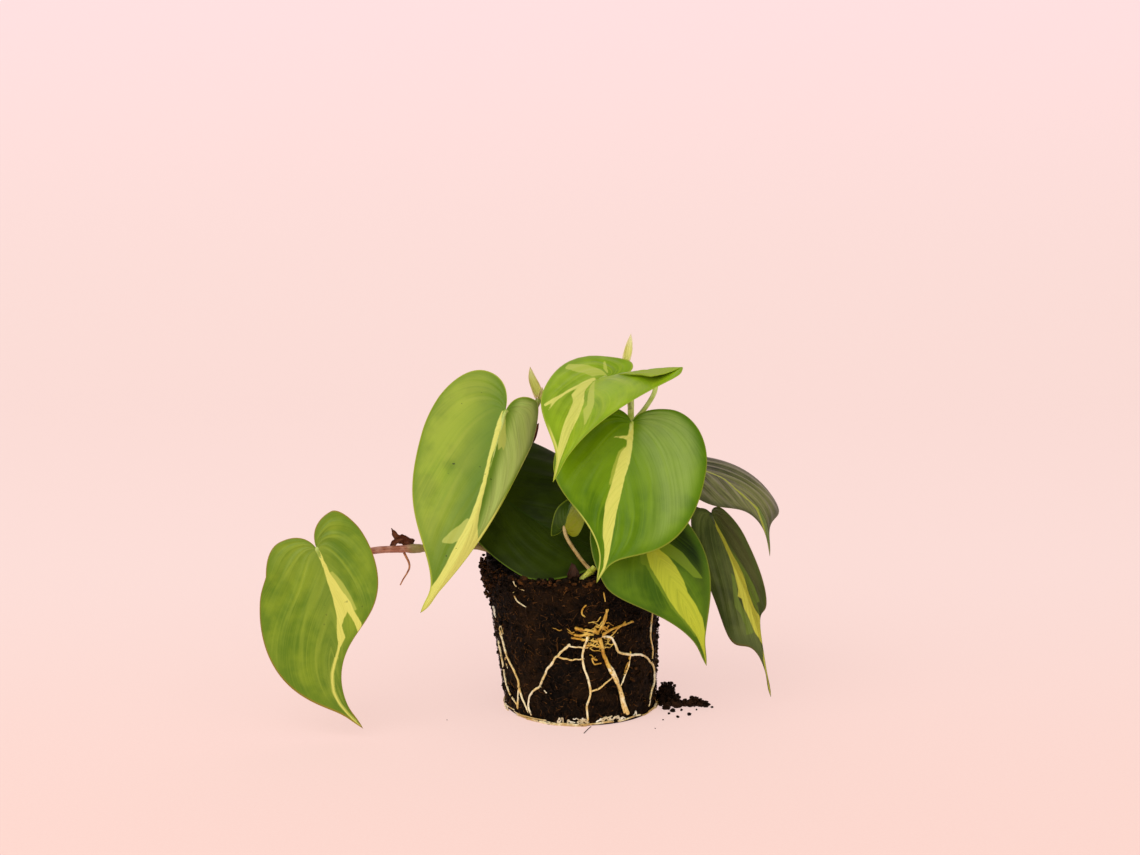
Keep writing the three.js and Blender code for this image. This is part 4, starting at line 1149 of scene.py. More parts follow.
# %% Small husks that the solids leave out
def small_husk(name, points, width, finish, crumple=0.2):
    line = smooth_line(points, 20)
    widths = sheath_widths(width, len(line), 0.3, 0.7)
    shell, faces, marks = rolled_sheath(line, widths, 0.6, 130, 60, crumple, 33)
    make_piece(name, shell, faces, finish, dict(run=marks))


small_husk("husk_back_vine", [(-27.2, 27, 136), (-25.4, 25.6, 141), (-24.2, 24.6, 144.5),
                              (-22.6, 23.6, 147.5)],
           1.7, dry_sheath)
small_husk("sheath_left_twin", [(-22.2, 18, 160.5), (-21.4, 17.6, 163), (-20.9, 17.3, 165.6),
                                (-20.6, 17, 168)],
           1.3, pink_sheath, 0.05)
small_husk("husk_vine_left", [(-98, -26, 92.2), (-96.6, -25.4, 93.8), (-94.6, -25, 95),
                              (-91.6, -24, 95.6)],
           1.3, dry_sheath, 0.3)

# %% [markdown]
# ## The root ball
#
# The ball is a plug of peat that kept the shape of a nursery pot: round, a little wider at the top,
# and pressed smooth where it touched plastic. Close up it is anything but smooth. We build it in
# three layers. A fine grid gives the plug and its pitted wall. Thousands of short fibres lie on that
# wall in every direction, because peat is shredded moss and not powder. Crumbs cling to the rim and
# roll off at the foot. All of it is mesh, so it also holds at the ball's outline.

# %% The wall that everything lies on
FOOT_RADIUS = 39.8
RIM_RADIUS = 46
RIM_HEIGHT = 77
LEAN = -4.8
LEFT_BANK = 6.5
FIBRE_TOP = 76
MIDDLE_RADIUS = 43
chance = np.random.default_rng(41)


def wall_radius(height):
    return mix(FOOT_RADIUS, RIM_RADIUS, np.asarray(height, float) / RIM_HEIGHT)


def on_wall(degrees, height, out=0.0):
    """A place on the wall by the degrees round from the front, rightwards, and the height."""
    turn = np.radians(degrees)
    height = np.asarray(height, float)
    radius = wall_radius(height) + out
    return np.stack([LEAN * height / RIM_HEIGHT + radius * np.sin(turn), -radius * np.cos(turn),
                     height + 0 * turn], -1)


def top_height(radius, turn):
    """How high the peat lies inside the rim: a low mound, and a bank on the left."""
    mound = np.interp(radius, [0, 20, 36, 44.8, 46], [80.5, 79.5, 78, 77, 76])
    bank = LEFT_BANK * np.maximum(0, -np.sin(turn + 0.2)) ** 3 * smoothstep(10, 40, radius)
    return mound + bank


print("the peat in the middle is %.1f mm high" % top_height(0.0, 0.0))


# %% A pitted plug of peat
AROUND = 400
WALL_ROWS = 110
TOP_ROWS = 46
FOOT_EDGE = 38.5


def make_ball():
    turn = np.linspace(0, 2 * math.pi, AROUND, endpoint=False)
    rows = []
    for height in np.linspace(0.3, 75, WALL_ROWS):
        rows.append(on_wall(np.degrees(turn), np.full(AROUND, height)))
    for radius in np.linspace(45.4, 1.0, TOP_ROWS):
        height = top_height(radius, turn)
        rows.append(np.stack([radius * np.sin(turn) + LEAN, -radius * np.cos(turn), height], -1))
    base = np.stack([FOOT_EDGE * np.sin(turn), -FOOT_EDGE * np.cos(turn), 0 * turn], -1)
    points = np.vstack([base] + rows)
    outward = [base * (1, 1, 0)]
    outward += [row * (1, 1, 0) - (row[:, 2:] * LEAN / RIM_HEIGHT) * (1, 0, 0) for row in rows]
    outward = np.vstack(outward)
    wall_count = AROUND * (WALL_ROWS + 1)
    outward[wall_count:] = (0, 0, 1)
    outward = unit(outward)
    pits = 0.4 * lump_noise(points, 7, 1) + 0.5 * lump_noise(points, 2.6, 2)
    pits = pits + 0.42 * lump_noise(points, 1.3, 3)
    near_foot = smoothstep(0.2, 4, points[:, 2])
    on_top = smoothstep(72, 77, points[:, 2])
    wall_move = (pits * 0.95 - 0.6) * near_foot
    top_move = 1.5 * lump_noise(points, 6, 7) + 0.9 * lump_noise(points, 2.2, 8)
    top_move = top_move + 0.4 * lump_noise(points, 1.1, 9)
    points = points + outward * (mix(wall_move, top_move * 0.75, on_top))[:, None]
    faces = []
    count = len(rows) + 1
    for row in range(count - 1):
        low, high = row * AROUND, (row + 1) * AROUND
        after = [(k + 1) % AROUND for k in range(AROUND)]
        faces.extend([low + k, low + after[k], high + after[k], high + k] for k in range(AROUND))
    faces.append(list(range(AROUND))[::-1])
    faces.append(list(range((count - 1) * AROUND, count * AROUND)))
    pit_mark = np.stack([pits, on_top, near_foot], -1)
    return points, faces, pit_mark


# %% Peat finish
def peat_finish(name, dark, body, red):
    material, tree, shader = new_finish(name, roughness=0.85, specular=0.12)
    pit_shade, _, _ = split_mark(tree, "pits")
    fine = grain(tree, own_place(tree), 1100.0, 4.0, 0.7)
    small = grain(tree, own_place(tree), 420.0, 3.0, 0.6)
    rusty = use_effect(tree, cloudy, Place=own_place(tree), Scale=55.0, Low=0.42, High=0.66)["Patch"]
    color = blend(tree, ramp(tree, fine, 0.35, 0.7), paint(dark), paint(body))
    color = layer(tree, color, ramp(tree, small, 0.5, 0.72), 0.55, paint(red))
    color = layer(tree, color, rusty, 0.3, paint(red))
    # Deep pits are painted darker: painted shade in the hollows, on the ball and on every crumb.
    color = layer(tree, color, ramp(tree, pit_shade, 0.1, -0.6), 0.8, paint(dark))
    tree.links.new(color, shader.inputs["Base Color"])
    tree.links.new(sums(tree, "MULTIPLY_ADD", fine, 0.3, 0.62), shader.inputs["Roughness"])
    height = sums(tree, "MULTIPLY_ADD", small, 1.4, fine)
    raise_surface(tree, shader, height, 0.9, 0.9)
    return material


peat = peat_finish("fibrous peat", "#050301", "#170e04", "#3a2307")
ball_points, ball_faces, ball_marks = make_ball()
make_piece("root_ball_peat", ball_points, ball_faces, peat, dict(pits=ball_marks), ["root_ball"])

# %% Short fibres that lie on the peat
def fibre_finish(name, first, second, third):
    material, tree, shader = new_finish(name, roughness=0.7, specular=0.2)
    tint, _, _ = split_mark(tree, "tint")
    speckle = grain(tree, own_place(tree), 800.0, 2.0, 0.5)
    color = blend(tree, ramp(tree, tint, 0.1, 0.6), paint(first), paint(second))
    color = blend(tree, ramp(tree, tint, 0.78, 1.0), color, paint(third))
    color = layer(tree, color, ramp(tree, speckle, 0.5, 0.7), 0.5, paint(first))
    tree.links.new(color, shader.inputs["Base Color"])
    tree.links.new(sums(tree, "MULTIPLY_ADD", speckle, 0.4, 0.45), shader.inputs["Roughness"])
    raise_surface(tree, shader, speckle, 0.5, 0.2)
    return material


peat_fibre = fibre_finish("peat fibre", "#120a03", "#382108", "#7c501f")


# %% Lay the fibres
def wall_fibre(length, degrees, height, lift):
    """A bent fibre that wanders over the wall from one place."""
    heading = chance.uniform(0, 2 * math.pi)
    steps = 4
    line = []
    for k in range(steps + 1):
        line.append(on_wall(degrees, height, lift + 0.5 * math.sin(math.pi * k / steps)))
        heading += chance.normal(0, 0.55)
        height += length / steps * math.sin(heading)
        degrees += math.degrees(length / steps * math.cos(heading) / MIDDLE_RADIUS)
        height = float(np.clip(height, 0.6, FIBRE_TOP))
    return np.array(line)


def make_wall_fibres(count):
    bundle = Bundle()
    for _ in range(count):
        length = chance.gamma(2.0, 1.0) + 0.7
        radius = chance.uniform(0.06, 0.15)
        start_height = FIBRE_TOP * chance.random() ** 0.9
        line = wall_fibre(length, chance.uniform(0, 360), start_height, chance.uniform(-0.45, 0.2))
        radii = radius * np.array([0.5, 1, 1, 0.9, 0.35])
        points, faces, _ = tube(line, radii, 3, flat_way=(0.3, 0.5, 1))
        bundle.add(points, faces, np.full((len(points), 3), chance.random()))
    points, faces, marks = bundle.all()
    make_piece("peat_fibres", points, faces, peat_fibre, dict(tint=marks))


make_wall_fibres(7400)

# %% [markdown]
# ## Crumbs
#
# A crumb of peat is a lump with a rough skin, never a ball. Each one starts as a coarse sphere
# that is pushed in and out by noise, then squashed and turned by chance. More than two thousand
# cover the top, the rim and the wall, a heap has slid off at the right foot, and a few lie on the
# paper. Those on the left bank are a rustier peat.

# %% Balls of rings
def sphere_grid(rings, sides):
    """Points and faces of a ball. Every second ring is turned by half a step."""
    points = [(0, 0, 1)]
    for i in range(1, rings):
        tilt = math.pi * i / rings
        for k in range(sides):
            turn = 2 * math.pi * (k + 0.5 * (i % 2)) / sides
            ring = math.sin(tilt)
            points.append((ring * math.cos(turn), ring * math.sin(turn), math.cos(tilt)))
    points.append((0, 0, -1))
    last = len(points) - 1
    faces = [[0, 1 + k, 1 + (k + 1) % sides] for k in range(sides)]
    for i in range(rings - 2):
        low = 1 + i * sides
        for k in range(sides):
            after = (k + 1) % sides
            faces.append([low + k, low + sides + k, low + sides + after, low + after])
    low = last - sides
    faces.extend([last, low + (k + 1) % sides, low + k] for k in range(sides))
    return np.array(points), faces


SMALL_LUMP = sphere_grid(5, 8)
LARGE_LUMP = sphere_grid(12, 20)
CRUMB_FLATNESS = 0.75
print("points in a small and a large lump:", len(SMALL_LUMP[0]), len(LARGE_LUMP[0]))


# %% One crumb, and a piece made of many
def lump(place, radius, lump_shape, rough):
    """A crumb around a place: its points and faces, with a mark (pit, tint, 0)."""
    ball, faces = lump_shape
    shift = chance.uniform(-50, 50, 3)
    push = 1 + rough * lump_noise(ball + shift, 0.8, 3) + 0.6 * rough * lump_noise(ball + shift, 0.35, 4)
    turn = chance.uniform(0, 2 * math.pi)
    stretch = np.array([chance.uniform(0.75, 1.25), chance.uniform(0.75, 1.25), CRUMB_FLATNESS])
    shaped = ball * push[:, None] * stretch * radius
    cosine, sine = math.cos(turn), math.sin(turn)
    spin = np.array([[cosine, -sine, 0], [sine, cosine, 0], [0, 0, 1]])
    marks = np.stack([(push - 1) / rough, np.full(len(ball), chance.random()), 0 * push], -1)
    return shaped @ spin.T + place, faces, marks


def crumb_piece(name, lumps, stands_for=(), twigs=(), material=peat):
    bundle = Bundle()
    for place, radius, shape, rough in lumps:
        bundle.add(*lump(np.array(place, float), radius, shape, rough))
    for line, radius in twigs:
        points, faces, _ = tube(line, radius, 4)
        bundle.add(points, faces, np.full((len(points), 3), 0.2))
    points, faces, marks = bundle.all()
    points[:, 2] = np.maximum(points[:, 2], 0.0)
    make_piece(name, points, faces, material, dict(pits=marks), stands_for)


# %% Crumbs on the top and the rim
FRONT_RIM_CRUMBS = 110


def top_crumbs(count):
    lumps = []
    for _ in range(count):
        turn = chance.uniform(0, 2 * math.pi)
        radius = 45.5 * math.sqrt(chance.uniform(0.1, 1))
        height = float(top_height(radius, turn))
        size = chance.gamma(3.0, 0.32) + 0.3
        place = (radius * math.sin(turn) + LEAN, -radius * math.cos(turn), height + 0.2 * size)
        lumps.append((place, min(size, 2.4), SMALL_LUMP, 0.4))
    return lumps


def rim_crumbs(count):
    lumps = []
    for _ in range(count):
        turn = chance.uniform(0, 360)
        height = 77 - abs(chance.normal(0, 3.5))
        size = chance.uniform(0.4, 1.3)
        lumps.append((on_wall(turn, height, chance.uniform(-0.3, 0.5)), size, SMALL_LUMP, 0.45))
    for _ in range(FRONT_RIM_CRUMBS):
        turn = chance.uniform(-75, 60)
        size = chance.uniform(0.5, 1.5)
        lumps.append((on_wall(turn, 77.3 + chance.normal(0, 0.8), chance.uniform(-2.5, 0.6)), size,
                      SMALL_LUMP, 0.5))
    return lumps


# %% Crumbs on the left bank and the wall
def bank_crumbs(count):
    lumps = []
    for _ in range(count):
        turn = chance.normal(-86, 11)
        height = float(np.clip(chance.normal(70, 4), 40, 80))
        size = chance.uniform(0.4, 1.5)
        lumps.append((on_wall(turn, height, chance.uniform(-0.2, 2.2)), size, SMALL_LUMP, 0.55))
    return lumps


def wall_crumbs(count):
    lumps = []
    for _ in range(count):
        place = on_wall(chance.uniform(0, 360), chance.uniform(1, 75), chance.uniform(-0.35, 0.2))
        lumps.append((place, chance.gamma(2.0, 0.2) + 0.25, SMALL_LUMP, 0.5))
    return lumps


rusty_peat = peat_finish("rusty peat", "#140b04", "#3c220c", "#82501c")
crumb_piece("rim_crumbs", top_crumbs(650) + rim_crumbs(260) + wall_crumbs(1050))
crumb_piece("bank_crumbs", bank_crumbs(150) + rim_crumbs(60) + wall_crumbs(160), material=rusty_peat)

# %% [markdown]
# ## Roots on the wall
#
# The roots ran into the pot's wall and followed it down to the foot, where they coiled into a ring.
# They are drawn on the wall by their degrees round from the front and their height. Young roots are
# glossy cream, the older ones at the centre have turned amber, and the peat still sticks to them in
# dark scabs. A root never runs true, so each line gets a small wander, and its radius swells and
# shrinks along the way.

# %% Root finish
def root_finish(name, body, deep, light, scab=0.6):
    material, tree, shader = new_finish(name, roughness=0.38, specular=0.5)
    along, around, tint = split_mark(tree, "run")
    long_grain = grain(tree, gathered(tree, sums(tree, "MULTIPLY", along, 14.0),
                                      sums(tree, "MULTIPLY", around, 9.0), tint), 1.0, 3.0, 0.6)
    color = blend(tree, ramp(tree, long_grain, 0.35, 0.68), paint(deep), paint(body))
    bright = use_effect(tree, cloudy, Place=own_place(tree), Scale=120.0, Low=0.45, High=0.6)["Patch"]
    color = layer(tree, color, bright, 0.75, paint(light))
    dirt = grain(tree, own_place(tree), 520.0, 3.0, 0.65)
    dirty = sums(tree, "MULTIPLY", ramp(tree, dirt, 0.58, 0.66), scab)
    color = blend(tree, dirty, color, paint("#38210f"))
    tree.links.new(color, shader.inputs["Base Color"])
    tree.links.new(sums(tree, "MULTIPLY_ADD", dirty, 0.4, 0.34), shader.inputs["Roughness"])
    raise_surface(tree, shader, sums(tree, "ADD", long_grain, dirt), 0.5, 0.25)
    return material


amber_root = root_finish("amber root", "#d6a42e", "#9c6a18", "#e8c65e")
cream_root = root_finish("cream root", "#f2e2a8", "#c8a454", "#fcf4d2")
gold_root = root_finish("golden root", "#f4dc94", "#cc9e42", "#fdf4c8")
ring_root = root_finish("coiled root", "#ecce80", "#98692a", "#fbf0c4", 0.85)

# %% Roots by degrees and height
FRONT_AMBER = [
    (0.9, 0.6, [(0, 54), (8, 52.5), (16, 51.5), (20, 59), (23, 63)]),
    (0.8, 0.6, [(17, 49), (25, 52), (35, 53.5), (43, 54)]),
    (0.8, 0.6, [(-1, 50), (9, 50), (17, 48)]),
    (0.7, 0.5, [(-3, 48.5), (6, 47.5), (15, 46)]),
    (0.6, 0.5, [(5, 44), (12, 43.8), (18, 43)]),
    (0.6, 0.4, [(14, 36), (10, 37), (12, 34), (17, 34)]),
    (1.2, 1.1, [(13, 53), (16, 47), (18, 41), (20, 35), (24, 28)]),
    (0.6, 0.4, [(22, 63), (21, 58), (18, 54)]),
    (0.5, 0.4, [(36, 55), (29, 51), (22, 47)]),
    (0.5, 0.4, [(8, 66), (5, 62), (7, 59.5)]),
    (0.5, 0.4, [(20, 72), (21, 67)]),
    (0.5, 0.35, [(40, 38), (37, 31), (34, 26)]),
]
FRONT_GOLD = [
    (0.9, 1.3, [(22, 32), (25, 27), (30, 20), (33, 12), (37, 4)]),
    (0.6, 0.8, [(20, 36), (25, 30), (29, 24), (31, 14), (34, 5)]),
    (0.6, 0.5, [(19, 39), (22, 33), (27, 26)]),
    (0.75, 0.6, [(8, 49), (4, 40), (4, 35), (7, 25), (8, 18), (5, 11), (5, 3)]),
    (0.6, 0.4, [(-14, 38), (-4, 36.5), (5, 37)]),
    (0.6, 0.5, [(8, 19), (16, 21), (25, 26)]),
    (0.6, 0.5, [(40, 36), (37, 29), (31, 20)]),
    (0.55, 0.4, [(-6, 44.5), (2, 43), (8, 43)]),
]
FRONT_CREAM = [
    (0.8, 0.6, [(-4, 45), (-14, 38), (-20, 32), (-25, 26), (-29, 21), (-39, 14), (-42, 8), (-40, 3)]),
    (0.8, 0.65, [(17, 49), (25, 47), (30, 39), (41, 36), (53, 34), (61, 30), (72, 22), (73, 16),
                 (67, 11), (62, 4)]),
    (0.45, 0.3, [(-29, 21), (-26, 18.5), (-24, 17)]),
]
LEFT_CREAM = [
    (0.75, 0.6, [(-66, 44), (-63, 40), (-60, 32), (-53, 26), (-49, 20), (-52, 12), (-55, 4)]),
    (0.7, 0.5, [(-50, 18), (-47, 11), (-42.5, 4)]),
    (0.7, 0.6, [(-73, 38), (-70, 28), (-69, 15), (-55, 6)]),
]
LEFT_FINE = [
    (0.5, 0.35, [(-63, 43), (-66, 46), (-63, 48), (-61, 44)]),
    (0.45, 0.3, [(-60, 32), (-64, 29), (-62, 25)]),
    (0.4, 0.3, [(-41, 76), (-40, 74), (-36, 72.5), (-33, 72)]),
    (0.5, 0.3, [(-42, 70), (-40, 66), (-36, 64), (-33, 63)]),
]
RIGHT_GOLD = [(0.6, 0.5, [(66, 57), (64, 48), (64, 41), (68, 34), (67, 27)])]
BACK_CREAM = [
    (0.9, 0.7, [(152, 68), (158, 52), (150, 36), (163, 20), (170, 4)]),
    (0.8, 0.6, [(158, 52), (175, 44), (190, 30), (202, 16), (197, 4)]),
    (0.7, 0.5, [(205, 62), (208, 46), (190, 30)]),
    (0.7, 0.5, [(150, 36), (136, 26), (126, 12), (130, 4)]),
    (0.7, 0.5, [(202, 16), (220, 20), (236, 12), (240, 4)]),
]


# %% Lay the roots on the wall
ROOT_SLIMNESS = 0.85
ROOT_OUT = 0.45
LOWEST_ROOT = 1.2
ROOT_FLAT_WAY = (0.2, 0.3, 1)


def lay_roots(bundle, roots, wander):
    """Adds one tube for each (radius, end radius, path), pressed onto the wall."""
    for radius, end, path in roots:
        line = smooth_line([(d, h, 0) for d, h in path], 12 * len(path))
        ease = np.sin(np.linspace(0, math.pi, len(line))) ** 0.3
        seed = int(chance.integers(1000))
        turn_by = wander * ease * lump_noise(line, 4.0, seed)
        rise_by = wander * ease * lump_noise(line, 3.0, seed + 1)
        radii = ROOT_SLIMNESS * mix(radius, end, np.linspace(0, 1, len(line)))
        radii = radii * (1 + 0.22 * lump_noise(line, 2.2, seed + 2))
        radii[0] *= 0.5
        radii[-1] *= 0.6
        height = np.maximum(line[:, 1] + rise_by, LOWEST_ROOT)
        places = on_wall(line[:, 0] + turn_by * 1.2, height, radii * ROOT_OUT)
        points, faces, marks = tube(places, radii, 8, flat_way=ROOT_FLAT_WAY)
        marks = marks * (len(path) / 4, 1, 0) + (0, 0, seed % 97)
        bundle.add(points, faces, marks)


def root_net(name, groups, finish, stands_for, wander=0.5):
    bundle = Bundle()
    for roots in groups:
        lay_roots(bundle, roots, wander)
    points, faces, marks = bundle.all()
    make_piece(name, points, faces, finish, dict(run=marks), stands_for)


root_net("front_roots_amber", [FRONT_AMBER], amber_root, ["roots_front"], 0.8)
root_net("front_roots_gold", [FRONT_GOLD], gold_root, ["roots_front"])
root_net("front_roots_cream", [FRONT_CREAM], cream_root, ["roots_front"], 0.7)
root_net("left_roots", [LEFT_CREAM, LEFT_FINE], gold_root, ["roots_left"])
root_net("right_root_line", [RIGHT_GOLD], gold_root, ["root_right"])
root_net("back_roots_lines", [BACK_CREAM], cream_root, ["roots_back"])

# %% Fine rootlets at the heart of the net
def fine_rootlets(count):
    roots = []
    for _ in range(count):
        degrees, height = chance.normal(15, 8), chance.normal(48, 4.5)
        way = chance.normal(0, 0.5)
        reach = chance.uniform(4, 11) * chance.choice((-1, 1))
        path = [(degrees + reach * k / 3, height + reach * math.sin(way) * k / 4 + chance.normal(0, 0.5))
                for k in range(4)]
        roots.append((chance.uniform(0.25, 0.45), 0.2, path))
    return roots


root_net("fine_rootlets", [fine_rootlets(34)], amber_root, [], 0.4)

# %% [markdown]
# ## The ring at the foot
#
# Where the pot's floor met its wall the roots turned and ran round and round, pressed flat together.
# A single torus would look like a rubber band. Instead sixteen strands run side by side at slightly
# different heights, swap places, and end here and there, with short white new roots in between.

# %% Strands of the ring
STRAND_ENDS = [
    (-56, -12), (60, 200), (80, 263), (-44, 4), (52, 75), (-60, -26), (110, 258), (-16, 24), (74, 300),
    (130, 290), (28, 50), (100, 275), (-34, 8), (205, 264), (140, 180), (66, 100)]


def ring_strands():
    bundle = Bundle()
    for strand, (first, last) in enumerate(STRAND_ENDS):
        degrees = np.linspace(first, last, int((last - first) * 1.1) + 6)
        seed = 50 + strand
        at = np.stack([degrees / 9, np.full(len(degrees), strand * 7.0), 0 * degrees], -1)
        height = 0.7 + 0.8 * (strand % 3) + 0.8 * lump_noise(at, 1.3, seed)
        out = 0.1 + 0.35 * (strand % 2) + 0.45 * lump_noise(at, 1.1, seed + 9)
        radii = (0.5 - 0.08 * (strand % 3)) * (1 + 0.3 * lump_noise(at, 0.8, seed + 3))
        height = np.maximum(height, radii)
        line = on_wall(degrees, height, out + 0.5)
        points, faces, marks = tube(line, radii, 8, flat_way=ROOT_FLAT_WAY)
        bundle.add(points, faces, marks * (60, 1, 0) + (0, 0, strand * 11.0))
    return bundle


ring_points, ring_faces, ring_marks = ring_strands().all()
ring_points[:, 2] = np.maximum(ring_points[:, 2], 0.02)
make_piece("root_ring_strands", ring_points, ring_faces, ring_root, dict(run=ring_marks),
           ["root_ring"])


# %% White new roots between the strands
NEW_ROOTS = 24


def white_tips():
    roots = []
    for _ in range(NEW_ROOTS):
        start = chance.normal(6, 14)
        path = [(start + 1.8 * n * chance.uniform(0.4, 1.2), 1.2 + chance.uniform(0, 3.4))
                for n in range(4)]
        roots.append((chance.uniform(0.3, 0.7), 0.4, path))
    roots.append((0.8, 0.6, [(-72.5, 57), (-71, 55), (-71.5, 53), (-69.5, 51.5)]))
    roots.append((0.6, 0.4, [(-74, 56), (-72, 55.5)]))
    return roots


white_root = root_finish("white new root", "#e9dcb4", "#b79a64", "#fffbe8", 0.75)
root_net("white_root_tips", [white_tips()], white_root, [], 0.3)

# %% The root in the air
def hanging_root():
    line = smooth_line([(-91.5, -24.5, 88.4), (-89.4, -24.5, 84), (-88.9, -24.5, 80), (-91.4, -24, 75.5),
                        (-94, -24, 71)], 60)
    line = line + np.stack([lump_noise(line, 4, 5), lump_noise(line, 4, 6), 0 * line[:, 0]], -1) * 0.3
    points, faces, marks = tube(line, mix(0.7, 0.32, np.linspace(0, 1, len(line))), 10)
    rust_root = root_finish("rust air root", "#b0683a", "#7c3f1e", "#d39a6a", 0.3)
    make_piece("root_aerial_line", points, faces, rust_root, dict(run=marks),
               ["root_aerial"])


hanging_root()

# %% Loose fibres that stand off the ball
WALL_HAIRS = 170
TOP_HAIRS = 420


def add_hair(bundle, start, way, reach, bend, radii):
    """Adds a fibre that leaves its start along a way and bends more and more."""
    shares = np.linspace(0, 1, len(radii))
    line = np.array([start + way * reach * t + bend * reach * t * t for t in shares])
    points, faces, _ = tube(line, radii, 4)
    bundle.add(points, faces, np.full((len(points), 3), chance.random()))


def stray_fibres():
    bundle = Bundle()
    for _ in range(WALL_HAIRS):
        turn, height = chance.uniform(0, 360), FIBRE_TOP * chance.random() ** 0.6
        start = on_wall(turn, height, -0.3)
        way = unit(on_wall(turn, height, 1.0) - start + chance.normal(0, 0.7, 3))
        reach = chance.uniform(0.8, 2.6)
        bend = chance.normal(0, 0.4, 3)
        add_hair(bundle, start, way, reach, bend, np.linspace(0.14, 0.05, 6))
    for _ in range(TOP_HAIRS):
        turn = chance.uniform(0, 2 * math.pi)
        radius = 45 * math.sqrt(chance.random())
        spot = np.array([radius * math.sin(turn) + LEAN, -radius * math.cos(turn), 0.4])
        spot[2] += float(top_height(radius, turn))
        way = unit(chance.normal(0, 1, 3) * (1, 1, 0.35) + (0, 0, 0.15))
        reach = chance.uniform(2, 7)
        bend = chance.normal(0, 0.25, 3)
        add_hair(bundle, spot, way, reach, bend, np.linspace(0.18, 0.07, 7))
    points, faces, marks = bundle.all()
    make_piece("stray_fibres", points, faces, peat_fibre, dict(tint=marks))


stray_fibres()

# %% [markdown]
# ## Soil on the paper
#
# A little heap has slid off at the right foot, a clump lies beyond it and a few crumbs have rolled
# further. The large lumps lie where the solids have them. Small ones fill the gaps between, for a
# heap is mostly made of what the eye takes for texture.

# %% The heap, the clump and the loose crumbs
HEAP = [(43.5, -1, 3, 5), (45, -5, 3, 4.5), (46, 0, 7.5, 4.6), (49, -3, 3, 4.5), (50, -8, 2, 3.2),
        (47.5, 3.5, 2.5, 4), (45, -11, 1.6, 2.6)]
CLUMP = [(55, -5.5, 1.2, 2.4), (58.5, -6.5, 1.8, 2.6), (60, -5, 3, 2.8), (63.5, -6, 1.7, 2.4),
         (66.5, -6.5, 0.8, 1.7)]
LOOSE = [(48.4, -16, 1.3), (46.1, -20, 0.9), (50.6, -26, 1.0), (56.6, -22, 1.2), (42.6, -30, 0.5),
         (69.5, -9, 0.7), (53, -14, 0.8), (38, -44, 0.4), (61, -13, 0.6), (-70, -30, 0.3)]


def heaped(cores, small_per_core):
    lumps = []
    for x, y, z, radius in cores:
        lumps.append(((x, y, z), radius * 0.82, LARGE_LUMP, 0.3))
        for _ in range(small_per_core):
            way = unit(chance.normal(0, 1, 3) * (1, 1, 0.9))
            place = np.array([x, y, z]) + way * radius * chance.uniform(0.6, 0.95)
            place[2] = abs(place[2])
            lumps.append((place, chance.uniform(0.35, 1.15), SMALL_LUMP, 0.45))
    return lumps


loose_soil = peat_finish("loose soil", "#080403", "#1e1108", "#4a2e18")
crumb_piece("soil_heap_crumbs", heaped(HEAP, 46), ["soil_heap"], material=loose_soil)
crumb_piece("soil_clump_crumbs", heaped(CLUMP, 30), ["soil_clump"], material=loose_soil)
loose = [((x, y, radius * 0.6), radius, SMALL_LUMP, 0.4) for x, y, radius in LOOSE]
twig = smooth_line([(4.9, -42, 0.5), (3.4, -46, 0.5), (1.3, -52, 0.3)], 10)
crumb_piece("loose_crumbs", loose, [], [(twig, 0.28)])

# %% [markdown]
# ## Floor, light and camera
#
# The plant was photographed on a pale pink sheet of paper that curves up behind it, under a large
# soft light from the upper left. A flat floor with a wall would show a line, so the sheet is one
# swept surface. Nothing on it may compete with the leaves: its finish is matt, with a paper grain
# too fine to notice. Its colour carries painted light: a little deeper pink in front, and lighter
# and cooler up the back. In the picture the paper is exposed so brightly that its shadows are nearly
# gone. A stronger lamp would burn the leaves as well, so the sheet keeps about a third of its
# brightness for the lamps and gives the rest by itself as a glow.

# %% The paper sweep
PAPER_LIT = 0.3
PAPER_GLOW = 0.73
SHEET_SIDE = 2600
BEND_START = 900
BEND_RADIUS = 700
SHEET_TOP = 3200


def multiplied(tree, first, second):
    """Two colours multiplied channel by channel."""
    node = tree.nodes.new("ShaderNodeMix")
    node.data_type = "RGBA"
    node.blend_type = "MULTIPLY"
    node.inputs[0].default_value = 1.0
    feed(tree, node.inputs[6], first)
    feed(tree, node.inputs[7], second)
    return node.outputs[2]


